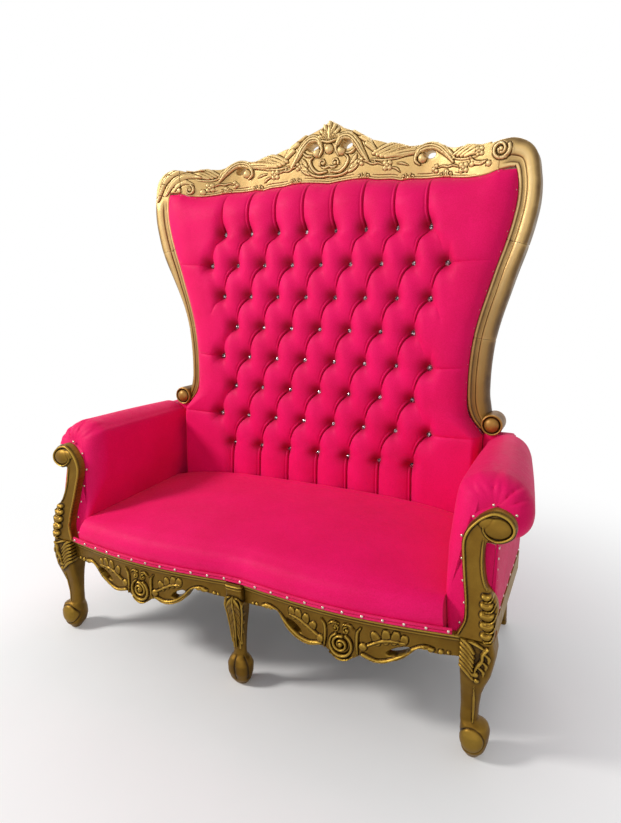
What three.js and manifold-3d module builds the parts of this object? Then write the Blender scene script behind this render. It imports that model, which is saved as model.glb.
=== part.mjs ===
// High back settee for two: carved and gilded wooden frame, deep buttoned back, tight seat, rolled arms.
// Millimetres. X runs to the right in a front view, the front faces -Y, Z is up.
// The origin is on the floor, under the middle of the settee's box.
import * as THREE from 'three'
import { mergeVertices } from 'three/addons/utils/BufferGeometryUtils.js'
import Module from 'manifold-3d'

const wasm = await Module()
wasm.setup()

// Clearances
const seam = 0.3
const softSeam = 0.8
const crestSeam = 4
const sink = 1.5

// Seat frame
const railTopHeight = 349
const railDepth = 64
const railBottomHeight = railTopHeight - railDepth
const frameDepth = 608
const rearRailFront = 268
const cornerFaceDepth = frameDepth - rearRailFront
const centreFaceForward = 13
const centreFaceDepth = cornerFaceDepth + centreFaceForward
const railBow = 30
const railThickness = 34
const lowerBackHalfWidth = 600
const frontCornerOutset = 72
const frontCornerHalfWidth = lowerBackHalfWidth + frontCornerOutset
const apronDrop = 152
const sideRailOutset = 73
const sideRailOuter = frontCornerHalfWidth + sideRailOutset
const sideRailThickness = 55
const rearRailThickness = 37
const crossRailWidth = 45
const crossRailX = 205
const crossRailHeight = 40
const cornerBlockLeg = 90
const cornerBlockHeight = 40
const carvingSlotLength = 64
const carvingSlotWidth = 15
const carvingSlotWeb = 8
const rosetteRadius = 42
const rosetteRise = 9

// Legs
const frontLegDepth = 86
const frontLegWidth = 83
const frontLegForward = 20
const frontLegFace = cornerFaceDepth + frontLegForward
const rearLegWidth = 62
const rearLegInset = 13
const rearLegInner = frontCornerHalfWidth - rearLegInset
const rearLegSplay = 92
const centreLegWidth = 58
const centreLegDepth = 56
const centreLegForward = 17
const centreLegFace = centreFaceDepth + centreLegForward

// Seat
const seatFrontRise = 83
const seatBackRise = 99
const seatFrontHeight = railTopHeight + seatFrontRise
const seatBackHeight = railTopHeight + seatBackRise
const seatCrown = 42
const seatFrontOverhang = 8
const springCount = 5
const springSpacing = 235
const springWireRadius = 2
const springAmplitude = 24
const springTurns = 10
const dustCoverThickness = 1.6

// Back outline: heights build up from the rail's top, half widths from the lower back's
const fabricOverShoulderShare = 72 / 615
const lowerBackRise = 379
const lowerBackHeight = railTopHeight + lowerBackRise
const waistRise = 157
const waistHeight = lowerBackHeight + waistRise
const waistInset = 59
const waistHalfWidth = lowerBackHalfWidth - waistInset
const shoulderRise = 615
const shoulderHeight = waistHeight + shoulderRise
const shoulderFlare = 119
const shoulderHalfWidth = waistHalfWidth + shoulderFlare
const fabricTopHeight = shoulderHeight + shoulderRise * fabricOverShoulderShare
const stileWidth = 64
const stileScrollRadius = 31
const jointLowRise = 164
const jointHighRise = 467
const stileJointLow = waistHeight + jointLowRise
const stileJointHigh = waistHeight + jointHighRise
const crestJointInset = 60
const crestJointHalfWidth = shoulderHalfWidth - crestJointInset
const crestEndHeight = 84
const crestPeakRise = 216
const crestPeakHeight = fabricTopHeight + crestPeakRise

// Back in plan: the face that the padding is fixed to, and what stands behind it
const stileForward = 13
const stileFaceDepth = rearRailFront - stileForward
const backHollow = 75
const hollowFootRise = 131
const hollowFootHeight = railTopHeight + hollowFootRise
const padRecess = 22
const padBackInset = 5
const footScrollInset = 10
const battenThickness = 27
const battenHeight = 60
const slatWidth = 60
const slatX = 210
const uprightWidth = 100
const outsideBackThickness = 8
const backFrameThickness = 70
const stileTurn = 52
const turnLowRise = 195
const turnHighRise = 495
const stileTurnLow = waistHeight + turnLowRise
const stileTurnHigh = waistHeight + turnHighRise
const crestRelief = 7
const crestHoleWidth = 44
const crestHoleHeight = 30
const crestScrollRise = 9

// Buttoning: rows run down from the top, and even and odd rows are half a pitch apart
const buttonTopDrop = 165
const buttonTopRow = fabricTopHeight - buttonTopDrop
const buttonRowDrop = 115.3
const buttonRowCounts = [8, 9, 8, 7, 8, 7, 8, 7]
const buttonPitchTop = 113.4
const buttonPitchBottom = 122.1
const buttonPlaneForward = 9
const buttonPlaneDepth = stileFaceDepth - buttonPlaneForward
const buttonPlaneLean = 22
const buttonPlaneHollow = 17
const tuftDepth = 26
const borderWidth = 12
const paddingFade = 95

// Arms
const armRise = 395
const armTopHeight = railTopHeight + armRise
const armRollHeight = 158
const armUnderRoll = armTopHeight - armRollHeight
const armClearance = 9
const armInner = lowerBackHalfWidth + armClearance
const armRollWidth = 214
const armRollOut = armInner + armRollWidth
const armWebWidth = 96
const armWebOuter = armInner + armWebWidth
const armBackGap = 1
const armBackDepth = stileFaceDepth - armBackGap
const armBackNarrowShare = 0.2
const armRailWidth = 30
const armRailHeight = 62
const armBackPostDepth = 36
const outerPanelThickness = 8
const postForward = 18
const postFaceDepth = cornerFaceDepth + postForward
const postThickness = 28
const postLeanShare = 0.2
const postWidth = 130
const postHeight = 327
const postScrollRise = 12

// Gimp and nail heads
const gimpHeight = 17
const gimpDepth = 10
const borderStripDepth = 3
const nailRadius = 6.5
const nailRise = 4.5
const nailSpacing = 58

const gold = { color: 0xa9822f, roughness: 0.45, metalness: 0.7 }
const paleGold = { color: 0xd9b45c, roughness: 0.45, metalness: 0.6 }
const pink = { color: 0xe0125f, roughness: 0.5, metalness: 0 }
const timber = { color: 0xb58a5a, roughness: 0.8, metalness: 0 }
const steel = { color: 0x8f9499, roughness: 0.4, metalness: 0.9 }
const cloth = { color: 0x26221f, roughness: 0.95, metalness: 0 }

const settee = new THREE.Group()
settee.name = 'high_back_settee'

function addPiece(name, geometry, finish) {
  const mesh = new THREE.Mesh(geometry, new THREE.MeshStandardMaterial(finish))
  mesh.name = name
  settee.add(mesh)
}

// Adds a right-hand piece and its mirror image
function addPair(name, geometry, finish) {
  addPiece(`${name}_right`, geometry, finish)
  addPiece(`${name}_left`, mirrored(geometry), finish)
}

// Shapes

const { clamp, lerp } = THREE.MathUtils
const point = (x, y, z) => new THREE.Vector3(x, y, z)

function smooth(place) {
  const share = clamp(place, 0, 1)
  return share * share * (3 - 2 * share)
}

// Value at a place in a table of [place, value] rows
function along(table, place) {
  const next = table.findIndex((row) => row[0] >= place)
  if (next === 0) return table[0][1]
  if (next < 0) return table[table.length - 1][1]
  const [start, before] = table[next - 1]
  const [end, after] = table[next]
  return lerp(before, after, (place - start) / (end - start))
}

function evenShares(count) {
  return Array.from({ length: count + 1 }, (_, i) => i / count)
}

function signedVolume(points, triangles) {
  let volume = 0
  for (let i = 0; i < triangles.length; i += 3) {
    const [a, b, c] = [points[triangles[i]], points[triangles[i + 1]], points[triangles[i + 2]]]
    volume += a.dot(b.clone().cross(c))
  }
  return volume
}

// Closed mesh from points and triangles, turned so that its faces look out
function closedMesh(points, triangles) {
  if (signedVolume(points, triangles) < 0) triangles.reverse()
  const geometry = new THREE.BufferGeometry().setFromPoints(points)
  geometry.setIndex(triangles)
  return geometry
}

// Solid through a row of rings, closed at each end by a fan from a hub that sees the whole ring
function loft(rings, hubs) {
  const count = rings[0].length
  const points = rings.flat()
  const triangles = []
  for (let i = 0; i + 1 < rings.length; i += 1) {
    for (let j = 0; j < count; j += 1) {
      const a = i * count + j
      const b = i * count + ((j + 1) % count)
      triangles.push(a, a + count, b, b, a + count, b + count)
    }
  }
  const ends = [rings[0], rings[rings.length - 1]]
  ends.forEach((ring, end) => {
    const middle = ring.reduce((sum, corner) => sum.add(corner), point(0, 0, 0)).divideScalar(count)
    const hub = points.push(hubs ? hubs[end] : middle) - 1
    const start = end * (rings.length - 1) * count
    for (let j = 0; j < count; j += 1) {
      const pair = [start + j, start + ((j + 1) % count)]
      if (end === 1) pair.reverse()
      triangles.push(pair[0], pair[1], hub)
    }
  })
  return closedMesh(points, triangles)
}

// Grid of points over shares of a surface, with each square's split chosen by a rule
function grid(acrossShares, upShares, surface, splits = () => true) {
  const columns = acrossShares.length
  const points = upShares.flatMap((v) => acrossShares.map((u) => surface(u, v)))
  const triangles = []
  for (let j = 0; j + 1 < upShares.length; j += 1) {
    for (let i = 0; i + 1 < columns; i += 1) {
      const a = j * columns + i
      const [b, c, d] = [a + 1, a + columns, a + columns + 1]
      if (splits(i, j)) triangles.push(a, b, d, a, d, c)
      else triangles.push(a, b, c, b, d, c)
    }
  }
  const rows = upShares.length
  const part = (shares, i) => (shares[i] - shares[0]) / (shares[shares.length - 1] - shares[0])
  const edge = []
  for (let i = 0; i < columns; i += 1) edge.push([part(acrossShares, i), i])
  for (let j = 1; j < rows; j += 1) edge.push([1 + part(upShares, j), j * columns + columns - 1])
  for (let i = columns - 2; i >= 0; i -= 1) edge.push([3 - part(acrossShares, i), (rows - 1) * columns + i])
  for (let j = rows - 2; j > 0; j -= 1) edge.push([4 - part(upShares, j), j * columns])
  return { points, triangles, edge }
}

// Closed solid between a front grid and a back grid, joined round their edges
function slab(front, back) {
  const shift = front.points.length
  const triangles = [...front.triangles]
  for (let i = 0; i < back.triangles.length; i += 3) {
    const [a, b, c] = back.triangles.slice(i, i + 3)
    triangles.push(a + shift, c + shift, b + shift)
  }
  const [near, far] = [front.edge, back.edge]
  const place = (edge, i) => (i < edge.length ? edge[i][0] : 4)
  let [i, j] = [0, 0]
  while (i < near.length || j < far.length) {
    const a = near[i % near.length][1]
    const b = far[j % far.length][1] + shift
    if (j >= far.length || (i < near.length && place(near, i + 1) <= place(far, j + 1))) {
      triangles.push(a, b, near[(i + 1) % near.length][1])
      i += 1
    } else {
      triangles.push(a, b, far[(j + 1) % far.length][1] + shift)
      j += 1
    }
  }
  return closedMesh([...front.points, ...back.points], triangles)
}

function box(x0, x1, y0, y1, z0, z1) {
  const shape = new THREE.BoxGeometry(x1 - x0, y1 - y0, z1 - z0)
  return shape.translate((x0 + x1) / 2, (y0 + y1) / 2, (z0 + z1) / 2)
}

function mirrored(geometry) {
  const copy = geometry.clone().scale(-1, 1, 1)
  if (!copy.index) copy.setIndex([...Array(copy.attributes.position.count).keys()])
  copy.setIndex([...copy.index.array].reverse())
  return copy
}

function toSolid(geometry) {
  const bare = geometry.clone()
  bare.deleteAttribute('normal')
  bare.deleteAttribute('uv')
  const merged = mergeVertices(bare, seam / 100)
  const mesh = new wasm.Mesh({
    numProp: 3,
    vertProperties: new Float32Array(merged.attributes.position.array),
    triVerts: new Uint32Array(merged.index.array),
  })
  return new wasm.Manifold(mesh)
}

function toGeometry(body) {
  const mesh = body.getMesh()
  const geometry = new THREE.BufferGeometry()
  geometry.setAttribute('position', new THREE.BufferAttribute(new Float32Array(mesh.vertProperties), 3))
  geometry.setIndex([...mesh.triVerts])
  return geometry
}

function join(base, additions) {
  return toGeometry(additions.reduce((body, extra) => body.add(toSolid(extra)), toSolid(base)))
}

function cut(base, tools) {
  return toGeometry(tools.reduce((body, tool) => body.subtract(toSolid(tool)), toSolid(base)))
}

// Low dome that looks towards -Y, its rim sunk below a face at the given depth
function dome(x, y, z, radius, rise, sides = 5) {
  const profileShares = [[0, 0], [1, 0], [0.72, 0.7], [0, 1]]
  const height = rise + sink
  const profile = profileShares.map(([r, h]) => new THREE.Vector2(r * radius, h * height))
  return new THREE.LatheGeometry(profile, sides).rotateX(Math.PI).translate(x, y + sink, z)
}

// Oval ring in low relief round a pierced hole
function reliefRing(x, y, z, width, height, thickness, rise) {
  const ring = new THREE.TorusGeometry(1, 2 * thickness / width, 5, 12).rotateX(Math.PI / 2)
  return ring.scale(width / 2, rise * width / (2 * thickness), height / 2).translate(x, y, z)
}

// Seat frame, in plan

// Face of the front rails: two gentle bows between the centre leg and the corner legs
function railFace(x) {
  const share = clamp((Math.abs(x) - centreLegWidth / 2) / (frontCornerHalfWidth - centreLegWidth / 2), 0, 1)
  const line = lerp(centreFaceDepth, cornerFaceDepth, share)
  return -(line + railBow * Math.sin(Math.PI * share))
}

// How far the carved apron hangs below the rail's top, from the centre leg to the corner leg
const apronShares = [[0, 0.43], [0.07, 0.4], [0.14, 0.37], [0.19, 0.34], [0.25, 0.66], [0.34, 0.83],
  [0.42, 0.79], [0.46, 0.88], [0.51, 1], [0.56, 0.88], [0.6, 0.79], [0.68, 0.83], [0.77, 0.66],
  [0.84, 0.4], [0.9, 0.46], [1, 0.44]]
const slotTilt = 0.35
const railSlotShares = [[0.275, slotTilt], [0.765, -slotTilt]]
const slotSides = 10
const rosetteShares = [0.505, 0.63]

function railX(share) {
  return lerp(centreLegWidth / 2 + seam, frontCornerHalfWidth - seam, share)
}

const apronBottom = (share) => railTopHeight - apronDrop * along(apronShares, share)

// Height of a slot's middle, with the least wood between the slot and the apron's lower edge
function slotHeight(share, tilt) {
  const corners = [...Array(slotSides).keys()].map((i) => {
    const angle = 2 * Math.PI * i / slotSides
    const run = carvingSlotLength / 2 * Math.cos(angle)
    const over = carvingSlotWidth / 2 * Math.sin(angle)
    const beside = (run * Math.cos(tilt) + over * Math.sin(tilt)) / (railX(1) - railX(0))
    return apronBottom(share + beside) + run * Math.sin(tilt) - over * Math.cos(tilt)
  })
  return Math.max(...corners) + carvingSlotWeb
}

function railRing(share) {
  const x = railX(share)
  const face = railFace(x)
  const fall = railTopHeight - apronBottom(share)
  const bead = nailRadius
  const profile = [[0, 0], [-bead / 2, bead / 2], [-bead / 2, bead * 1.5], [bead / 3, bead * 2.2],
    [-bead / 3, fall * 0.5], [bead / 4, fall * 0.85], [bead, fall], [railThickness * 0.75, fall * 0.98],
    [railThickness, fall * 0.8], [railThickness, 0]]
  return profile.map(([back, drop]) => point(x, face + back, railTopHeight - drop))
}

function frontRail() {
  const rail = loft(apronShares.map(([share]) => railRing(share)))
  const slots = railSlotShares.map(([share, tilt]) => {
    const slot = new THREE.CylinderGeometry(1, 1, railThickness * 4, slotSides)
    slot.scale(carvingSlotLength / 2, 1, carvingSlotWidth / 2).rotateY(tilt)
    return slot.translate(railX(share), railFace(railX(share)), slotHeight(share, tilt))
  })
  const x = railX(rosetteShares[0])
  const z = railTopHeight - apronDrop * rosetteShares[1]
  const rosette = dome(x, railFace(x), z, rosetteRadius, rosetteRise, 12)
  const boss = dome(x, railFace(x) - rosetteRise, z, rosetteRadius * 0.4, rosetteRise / 2, 8)
  return join(cut(rail, slots), [rosette, boss])
}

addPair('front_rail', frontRail(), gold)

const frontLegBack = frontLegDepth - frontLegFace
const sideRailInner = sideRailOuter - sideRailThickness
const rearRailBack = rearRailFront + rearRailThickness
const rearLegFront = rearRailBack - rearLegWidth

addPair('side_rail', box(sideRailInner, sideRailOuter, frontLegBack + seam, rearLegFront - seam,
  railBottomHeight, railTopHeight), gold)
addPiece('rear_rail', box(seam - rearLegInner, rearLegInner - seam, rearRailFront, rearRailBack,
  railBottomHeight, railTopHeight), timber)

const crossRailTop = railBottomHeight + crossRailHeight
const crossRailFront = railFace(crossRailX - crossRailWidth / 2) + railThickness + softSeam
addPair('cross_rail', box(crossRailX - crossRailWidth / 2, crossRailX + crossRailWidth / 2,
  crossRailFront, rearRailFront - seam, crossRailTop - crossRailHeight, crossRailTop), timber)

function cornerBlock(x, y, towardsBack) {
  const outline = new THREE.Shape([new THREE.Vector2(x, y), new THREE.Vector2(x - cornerBlockLeg, y),
    new THREE.Vector2(x, y + cornerBlockLeg * towardsBack)])
  const block = new THREE.ExtrudeGeometry(outline, { depth: cornerBlockHeight, bevelEnabled: false })
  return block.translate(0, 0, crossRailTop - cornerBlockHeight)
}

const cornerLineFront = railFace(frontCornerHalfWidth) + railThickness + seam
addPair('front_corner_block', cornerBlock(frontCornerHalfWidth - seam, cornerLineFront, 1), timber)
addPair('rear_corner_block', cornerBlock(rearLegInner - seam, rearRailFront - seam, -1), timber)

// Legs: rings of eight points at shares of the height

function legRing(x0, x1, y0, y1, z, cornerShare) {
  const [cx, cy] = [(x1 - x0) * cornerShare, (y1 - y0) * cornerShare]
  return [point(x0 + cx, y0, z), point(x1 - cx, y0, z), point(x1, y0 + cy, z), point(x1, y1 - cy, z),
    point(x1 - cx, y1, z), point(x0 + cx, y1, z), point(x0, y1 - cy, z), point(x0, y0 + cy, z)]
}

// Height share, then inner, outer, front and back edges as shares of the block, and the corner share
const frontLegShares = [[0, 0.32, 0.72, 0.24, 0.62, 0.3], [0.06, 0.16, 0.92, 0.05, 0.9, 0.3],
  [0.13, 0.09, 1.0, 0.0, 0.97, 0.3], [0.21, 0.08, 1.03, 0.0, 0.94, 0.3], [0.28, 0.1, 0.98, 0.08, 0.84, 0.3],
  [0.32, 0.08, 0.66, 0.2, 0.74, 0.28], [0.41, 0.06, 0.65, 0.22, 0.74, 0.26],
  [0.53, 0.04, 0.7, 0.16, 0.76, 0.24], [0.62, 0.03, 0.81, 0.08, 0.8, 0.2],
  [0.72, 0.01, 0.97, 0.0, 0.88, 0.16], [0.82, 0, 1.05, -0.02, 0.96, 0.12],
  [0.9, 0, 1.08, -0.02, 1, 0.1], [1, 0, 1, 0, 1, 0.08]]

function frontLeg() {
  const rings = frontLegShares.map(([height, inner, outer, front, back, corner]) => legRing(
    frontCornerHalfWidth + frontLegWidth * inner, frontCornerHalfWidth + frontLegWidth * outer,
    frontLegDepth * front - frontLegFace, frontLegDepth * back - frontLegFace,
    railTopHeight * height, corner))
  return loft(rings)
}

// Height share, then half width and front and back edges as shares of the block, and the corner share
const centreLegShares = [[0, 0.38, 0.4, 0.95, 0.28], [0.05, 0.6, 0.18, 1.1, 0.28],
  [0.12, 0.72, 0.02, 1.25, 0.28], [0.2, 0.76, 0.0, 1.3, 0.28], [0.27, 0.66, 0.1, 1.2, 0.28],
  [0.31, 0.42, 0.3, 1.0, 0.28], [0.35, 0.36, 0.34, 0.95, 0.2], [0.55, 0.42, 0.26, 0.95, 0.12],
  [0.7, 0.5, 0.16, 0.98, 0.1], [0.79, 0.56, 0.02, 1, 0.1], [0.81, 0.5, 0, 1, 0.08], [1, 0.5, 0, 1, 0.08]]

function centreLeg(face) {
  const rings = centreLegShares.map(([height, half, front, back, corner]) => legRing(
    -centreLegWidth * half, centreLegWidth * half, centreLegDepth * front + face,
    centreLegDepth * back + face, railTopHeight * height, corner))
  return loft(rings)
}

// Height share, backward splay share and width share
const rearLegShares = [[0, 1, 0.62], [0.35, 0.62, 0.62], [0.6, 0.3, 0.75], [0.78, 0.06, 0.94], [0.82, 0, 1],
  [1, 0, 1]]

const rearLegCornerShare = 0.12

function rearLeg(innerX, top) {
  const middle = innerX + rearLegWidth / 2
  const centreY = rearRailBack - rearLegWidth / 2
  const rings = rearLegShares.map(([height, splay, width]) => {
    const half = rearLegWidth / 2 * width
    const y = centreY + rearLegSplay * splay
    return legRing(middle - half, middle + half, y - half, y + half, top * height, rearLegCornerShare)
  })
  return loft(rings)
}

addPair('front_leg', frontLeg(), gold)
addPiece('front_leg_centre', centreLeg(-centreLegFace), gold)
addPair('rear_leg', rearLeg(rearLegInner, railTopHeight), gold)
addPiece('rear_leg_centre', rearLeg(-rearLegWidth / 2, railBottomHeight - seam), gold)

// Back: outline of the stiles and the face that carries the padding

// Middle line of a stile from its foot scroll up round the shoulder, as shares of flare and rise
const stilePathShares = [[0.3, -0.197], [0.14, -0.15], [0.03, -0.078], [0, 0.024], [0.025, 0.163],
  [0.1, 0.285], [0.235, 0.4], [0.4, 0.512], [0.57, 0.626], [0.756, 0.74], [0.908, 0.854], [1, 0.967],
  [0.975, 1.08], [0.84, 1.163], [0.56, 1.187], [0.227, 1.182]]
const stileFlare = shoulderHalfWidth - waistHalfWidth
const stileRise = shoulderHeight - waistHeight
const stilePath = new THREE.CatmullRomCurve3(stilePathShares.map(([out, up]) => point(
  waistHalfWidth + stileWidth / 2 + stileFlare * out, 0, waistHeight + stileRise * up)))

function stileWidthAt(place) {
  const wide = lerp(stileWidth, crestEndHeight, smooth((place - 0.8) / 0.15))
  return lerp(stileWidth * 0.72, wide, smooth(place / 0.12))
}

function stilePlace(place, across) {
  const centre = stilePath.getPoint(place)
  const run = stilePath.getTangent(place)
  const offset = (across - 0.5) * stileWidthAt(place)
  return new THREE.Vector2(centre.x + run.z * offset, centre.z - run.x * offset)
}

// Place along the stile where its middle line reaches a height
function stileAtHeight(height) {
  let [low, high] = [0, 0.8]
  for (let i = 0; i < 40; i += 1) {
    const middle = (low + high) / 2
    if (stilePath.getPoint(middle).z < height) low = middle
    else high = middle
  }
  return low
}

const stileInnerEdge = evenShares(60).map((share) => stilePlace(lerp(0.08, 0.9, share), 0))
const footRise = waistHeight - lowerBackHeight
const footInset = (z) => footScrollInset * (1 - smooth((z - lowerBackHeight) / footRise))
const backEdge = [[0, lowerBackHalfWidth], [lowerBackHeight, lowerBackHalfWidth],
  ...stileInnerEdge.map((edge) => [edge.y, edge.x - footInset(edge.y)])]
const backHalfWidth = (height) => along(backEdge, height) - softSeam

// Edges of the crest at even steps from the middle to the joint, as shares of its end height and its rise
const crestLowerShares = [0.04, 0.08, 0.11, 0.14, 0.14, 0.12, 0.06, 0.04, 0.02, -0.05, -0.02, -0.04, -0.06,
  -0.06, -0.08, -0.13, -0.18, -0.21, -0.2, -0.15, -0.05]
const crestUpperShares = [1, 0.915, 0.857, 0.806, 0.727, 0.653, 0.62, 0.574, 0.537, 0.5, 0.458, 0.463, 0.519,
  0.5, 0.421, 0.38, 0.384, 0.361, 0.338, 0.352, 0.38]

function evenCurve(shares) {
  return new THREE.SplineCurve(shares.map((value, i) => new THREE.Vector2(i / (shares.length - 1), value)))
}

const lowerCurve = evenCurve(crestLowerShares)
const upperCurve = evenCurve(crestUpperShares)
const crestShare = (x) => clamp(Math.abs(x) / crestJointHalfWidth, 0, 1)
const crestLower = (x) => fabricTopHeight + crestEndHeight * lowerCurve.getPoint(crestShare(x)).y
const crestRise = crestPeakHeight - fabricTopHeight
const crestUpper = (x) => fabricTopHeight + crestRise * upperCurve.getPoint(crestShare(x)).y

// Depth of the frame's front face: straight at the stiles, hollow between them, more so higher up
function frameFace(x, z) {
  const share = Math.abs(x) / (backHalfWidth(Math.min(z, shoulderHeight)) + softSeam)
  const hollow = 1 - smooth((share - 0.5) / 0.47)
  const growth = clamp((z - hollowFootHeight) / (fabricTopHeight - hollowFootHeight), 0, 1)
  return stileFaceDepth + backHollow * growth * hollow
}

// Depth and place of a stile's moulded section: inner bead, cove, then a large round to the outside
const stileProfileShares = [[0, 0], [0.04, -0.1], [0.14, -0.1], [0.22, 0.06], [0.34, 0.06], [0.48, -0.16],
  [0.66, -0.26], [0.84, -0.18], [0.97, 0.05], [1, 0.2]]

function stileRing(place) {
  const middle = stilePlace(place, 0.5)
  const inner = stilePlace(place, 0)
  const face = frameFace(inner.x, inner.y)
  const turn = stileTurn * (1 - smooth((middle.y - stileTurnLow) / (stileTurnHigh - stileTurnLow)))
  const front = stileProfileShares.map(([across, depth]) => {
    const spot = stilePlace(place, across)
    return point(spot.x, face + turn * across * across + depth * stileWidth / 2, spot.y)
  })
  const [outerBack, innerBack] = [stilePlace(place, 1), stilePlace(place, 0)]
  const ring = [...front, point(outerBack.x, face + backFrameThickness, outerBack.y),
    point(innerBack.x, face + backFrameThickness, innerBack.y)]
  if (place === 1) ring.forEach((spot) => spot.setX(crestJointHalfWidth))
  return ring
}

function stilePiece(start, end, steps) {
  const rings = evenShares(steps).map((share) => stileRing(lerp(start, end, share)))
  const hubs = [rings[0], rings[steps]].map((ring) => ring[5].clone().lerp(ring[ring.length - 1], 0.5))
  return loft(rings, hubs)
}

const footScroll = stilePlace(0, 0.5)
const scrollCentreX = footScroll.x + stileScrollRadius * 0.62
const scrollCentreZ = footScroll.y + stileScrollRadius * 0.12

function stileFoot(low) {
  const roll = new THREE.CylinderGeometry(1, 1, 1, 16)
  roll.scale(stileScrollRadius, backFrameThickness + stileWidth * 0.1, stileScrollRadius)
  const y = stileFaceDepth - stileWidth * 0.1
  roll.translate(scrollCentreX, y + (backFrameThickness + stileWidth * 0.1) / 2, scrollCentreZ)
  const eye = dome(scrollCentreX, y, scrollCentreZ, stileScrollRadius * 0.6, stileScrollRadius * 0.3, 10)
  return join(stilePiece(0, low, 12), [roll, eye])
}

const jointGap = seam / stilePath.getLength() / 2
const [jointLow, jointHigh] = [stileAtHeight(stileJointLow), stileAtHeight(stileJointHigh)]
addPair('stile_lower', stileFoot(jointLow - jointGap), gold)
addPair('stile_middle', stilePiece(jointLow + jointGap, jointHigh - jointGap, 8), gold)
addPair('stile_upper', stilePiece(jointHigh + jointGap, 1, 14), gold)

// Crest: a carved rail with four pierced scrolls, flowers between them and a palmette on top

const crestColumns = evenShares(44).map((share) => lerp(-1, 1, share) * (crestJointHalfWidth - seam))
const holeShares = [[0.11, 0.61, 0], [0.608, 0.34, 0.2]]
const flowerShares = [[0.363, 0.24], [0.86, 0.14]]

function crestRing(x) {
  const [low, high] = [crestLower(x), crestUpper(x)]
  const face = frameFace(x, fabricTopHeight)
  const rise = high - low
  const back = face + backFrameThickness
  return [point(x, face, low), point(x, face - crestRelief, low + crestRelief),
    point(x, face - crestRelief / 3, low + rise * 0.3),
    point(x, face - crestRelief * 1.4, low + rise * 0.75),
    point(x, face + crestRelief, high - crestRelief / 2), point(x, face + crestRelief * 3, high),
    point(x, back - crestRelief * 2, high - crestRelief / 3), point(x, back, high - crestRelief * 2),
    point(x, back, low)]
}

function crestPlace(xShare, upShare) {
  const x = crestJointHalfWidth * xShare
  return point(x, frameFace(x, fabricTopHeight) - crestRelief,
    lerp(fabricTopHeight, crestPeakHeight, upShare))
}

// Fan of ribs under the peak
function palmette() {
  const centre = crestPlace(0, 0.58)
  return evenShares(6).map((share) => {
    const turn = lerp(-1, 1, share) * 1.15
    const rib = new THREE.SphereGeometry(1, 6, 5)
    const length = (crestPeakHeight - centre.z) * lerp(0.5, 0.32, Math.abs(turn))
    rib.scale(crestRelief, crestRelief * 1.6, length).translate(0, 0, length)
    return rib.rotateY(turn).translate(centre.x, centre.y + crestRelief, centre.z)
  })
}

function crestRail() {
  const rail = loft(crestColumns.map(crestRing))
  const sides = [-1, 1]
  const holes = holeShares.flatMap(([across, up, tilt]) => sides.map((side) => {
    const hole = new THREE.CylinderGeometry(1, 1, backFrameThickness * 4, 12)
    hole.scale(crestHoleWidth / 2, 1, crestHoleHeight / 2).rotateY(tilt * side)
    const place = crestPlace(across * side, up)
    return hole.translate(place.x, place.y, place.z)
  }))
  const scrolls = holeShares.flatMap(([across, up]) => sides.map((side) => {
    const place = crestPlace(across * side, up)
    const width = crestHoleWidth + crestScrollRise * 3
    const height = crestHoleHeight + crestScrollRise * 3
    return reliefRing(place.x, place.y + crestRelief, place.z, width, height,
      crestScrollRise, crestScrollRise)
  }))
  const flowers = flowerShares.flatMap(([across, up]) => sides.map((side) => {
    const place = crestPlace(across * side, up)
    return dome(place.x, place.y + crestRelief, place.z, crestHoleWidth * 0.4, crestRelief * 1.6, 8)
  }))
  const maskPlace = crestPlace(0, 0.25)
  const shield = new THREE.SphereGeometry(1, 10, 6)
  shield.scale(crestHoleWidth * 1.4, crestRelief * 2.2, crestHoleHeight)
  shield.translate(0, maskPlace.y + crestRelief, maskPlace.z)
  return join(cut(rail, holes), [...scrolls, ...flowers, shield, ...palmette()])
}

addPiece('crest_rail', crestRail(), paleGold)

// Hidden back frame: three battens, two slats and two uprights

const battenFront = padRecess + softSeam
const hollowShares = [-1, -0.86, -0.74, -0.62, -0.5, 0, 0.5, 0.62, 0.74, 0.86, 1]

// Board that follows the back's hollow between two heights
function hollowBoard(low, high, halfWidth, front, back, upShares = [0, 0.5, 1]) {
  const sheet = (depth) => grid(hollowShares, upShares, (u, v) => {
    const z = lerp(low, high, v)
    const x = u * halfWidth(z)
    return point(x, frameFace(x, z) + depth, z)
  })
  return slab(sheet(front), sheet(back))
}

const battenBack = battenFront + battenThickness
const outsideTop = fabricTopHeight - crestEndHeight * 0.3
const topBattenHigh = outsideTop - battenHeight * 0.1
const middleBattenLow = (stileJointLow + waistHeight) / 2
const bottomBattenLow = seatBackHeight
const battens = [['back_batten_top', topBattenHigh - battenHeight], ['back_batten_middle', middleBattenLow],
  ['back_batten_bottom', bottomBattenLow]]
battens.forEach(([name, low]) => {
  addPiece(name, hollowBoard(low, low + battenHeight, backHalfWidth, battenFront, battenBack), timber)
})

function slat(low, high) {
  const sheet = (depth) => grid([0, 1], [0, 1], (u, v) => {
    const z = lerp(low, high, v)
    return point(slatX + (u - 0.5) * slatWidth, frameFace(slatX, z) + depth, z)
  })
  return slab(sheet(battenFront), sheet(battenBack - softSeam))
}

addPair('back_slat_low', slat(bottomBattenLow + battenHeight + seam, middleBattenLow - seam), timber)
addPair('back_slat_high', slat(middleBattenLow + battenHeight + seam, topBattenHigh - battenHeight - seam),
  timber)

const uprightTop = scrollCentreZ - stileScrollRadius - seam
addPair('back_upright', box(lowerBackHalfWidth, lowerBackHalfWidth + uprightWidth, stileFaceDepth,
  rearRailBack, railTopHeight + seam, uprightTop), timber)

const panelFront = battenBack + softSeam + seam / 2
function outsideHalfWidth(z) {
  if (z <= lowerBackHeight) return lowerBackHalfWidth + uprightWidth
  return backHalfWidth(z) - 2 * seam
}

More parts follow.
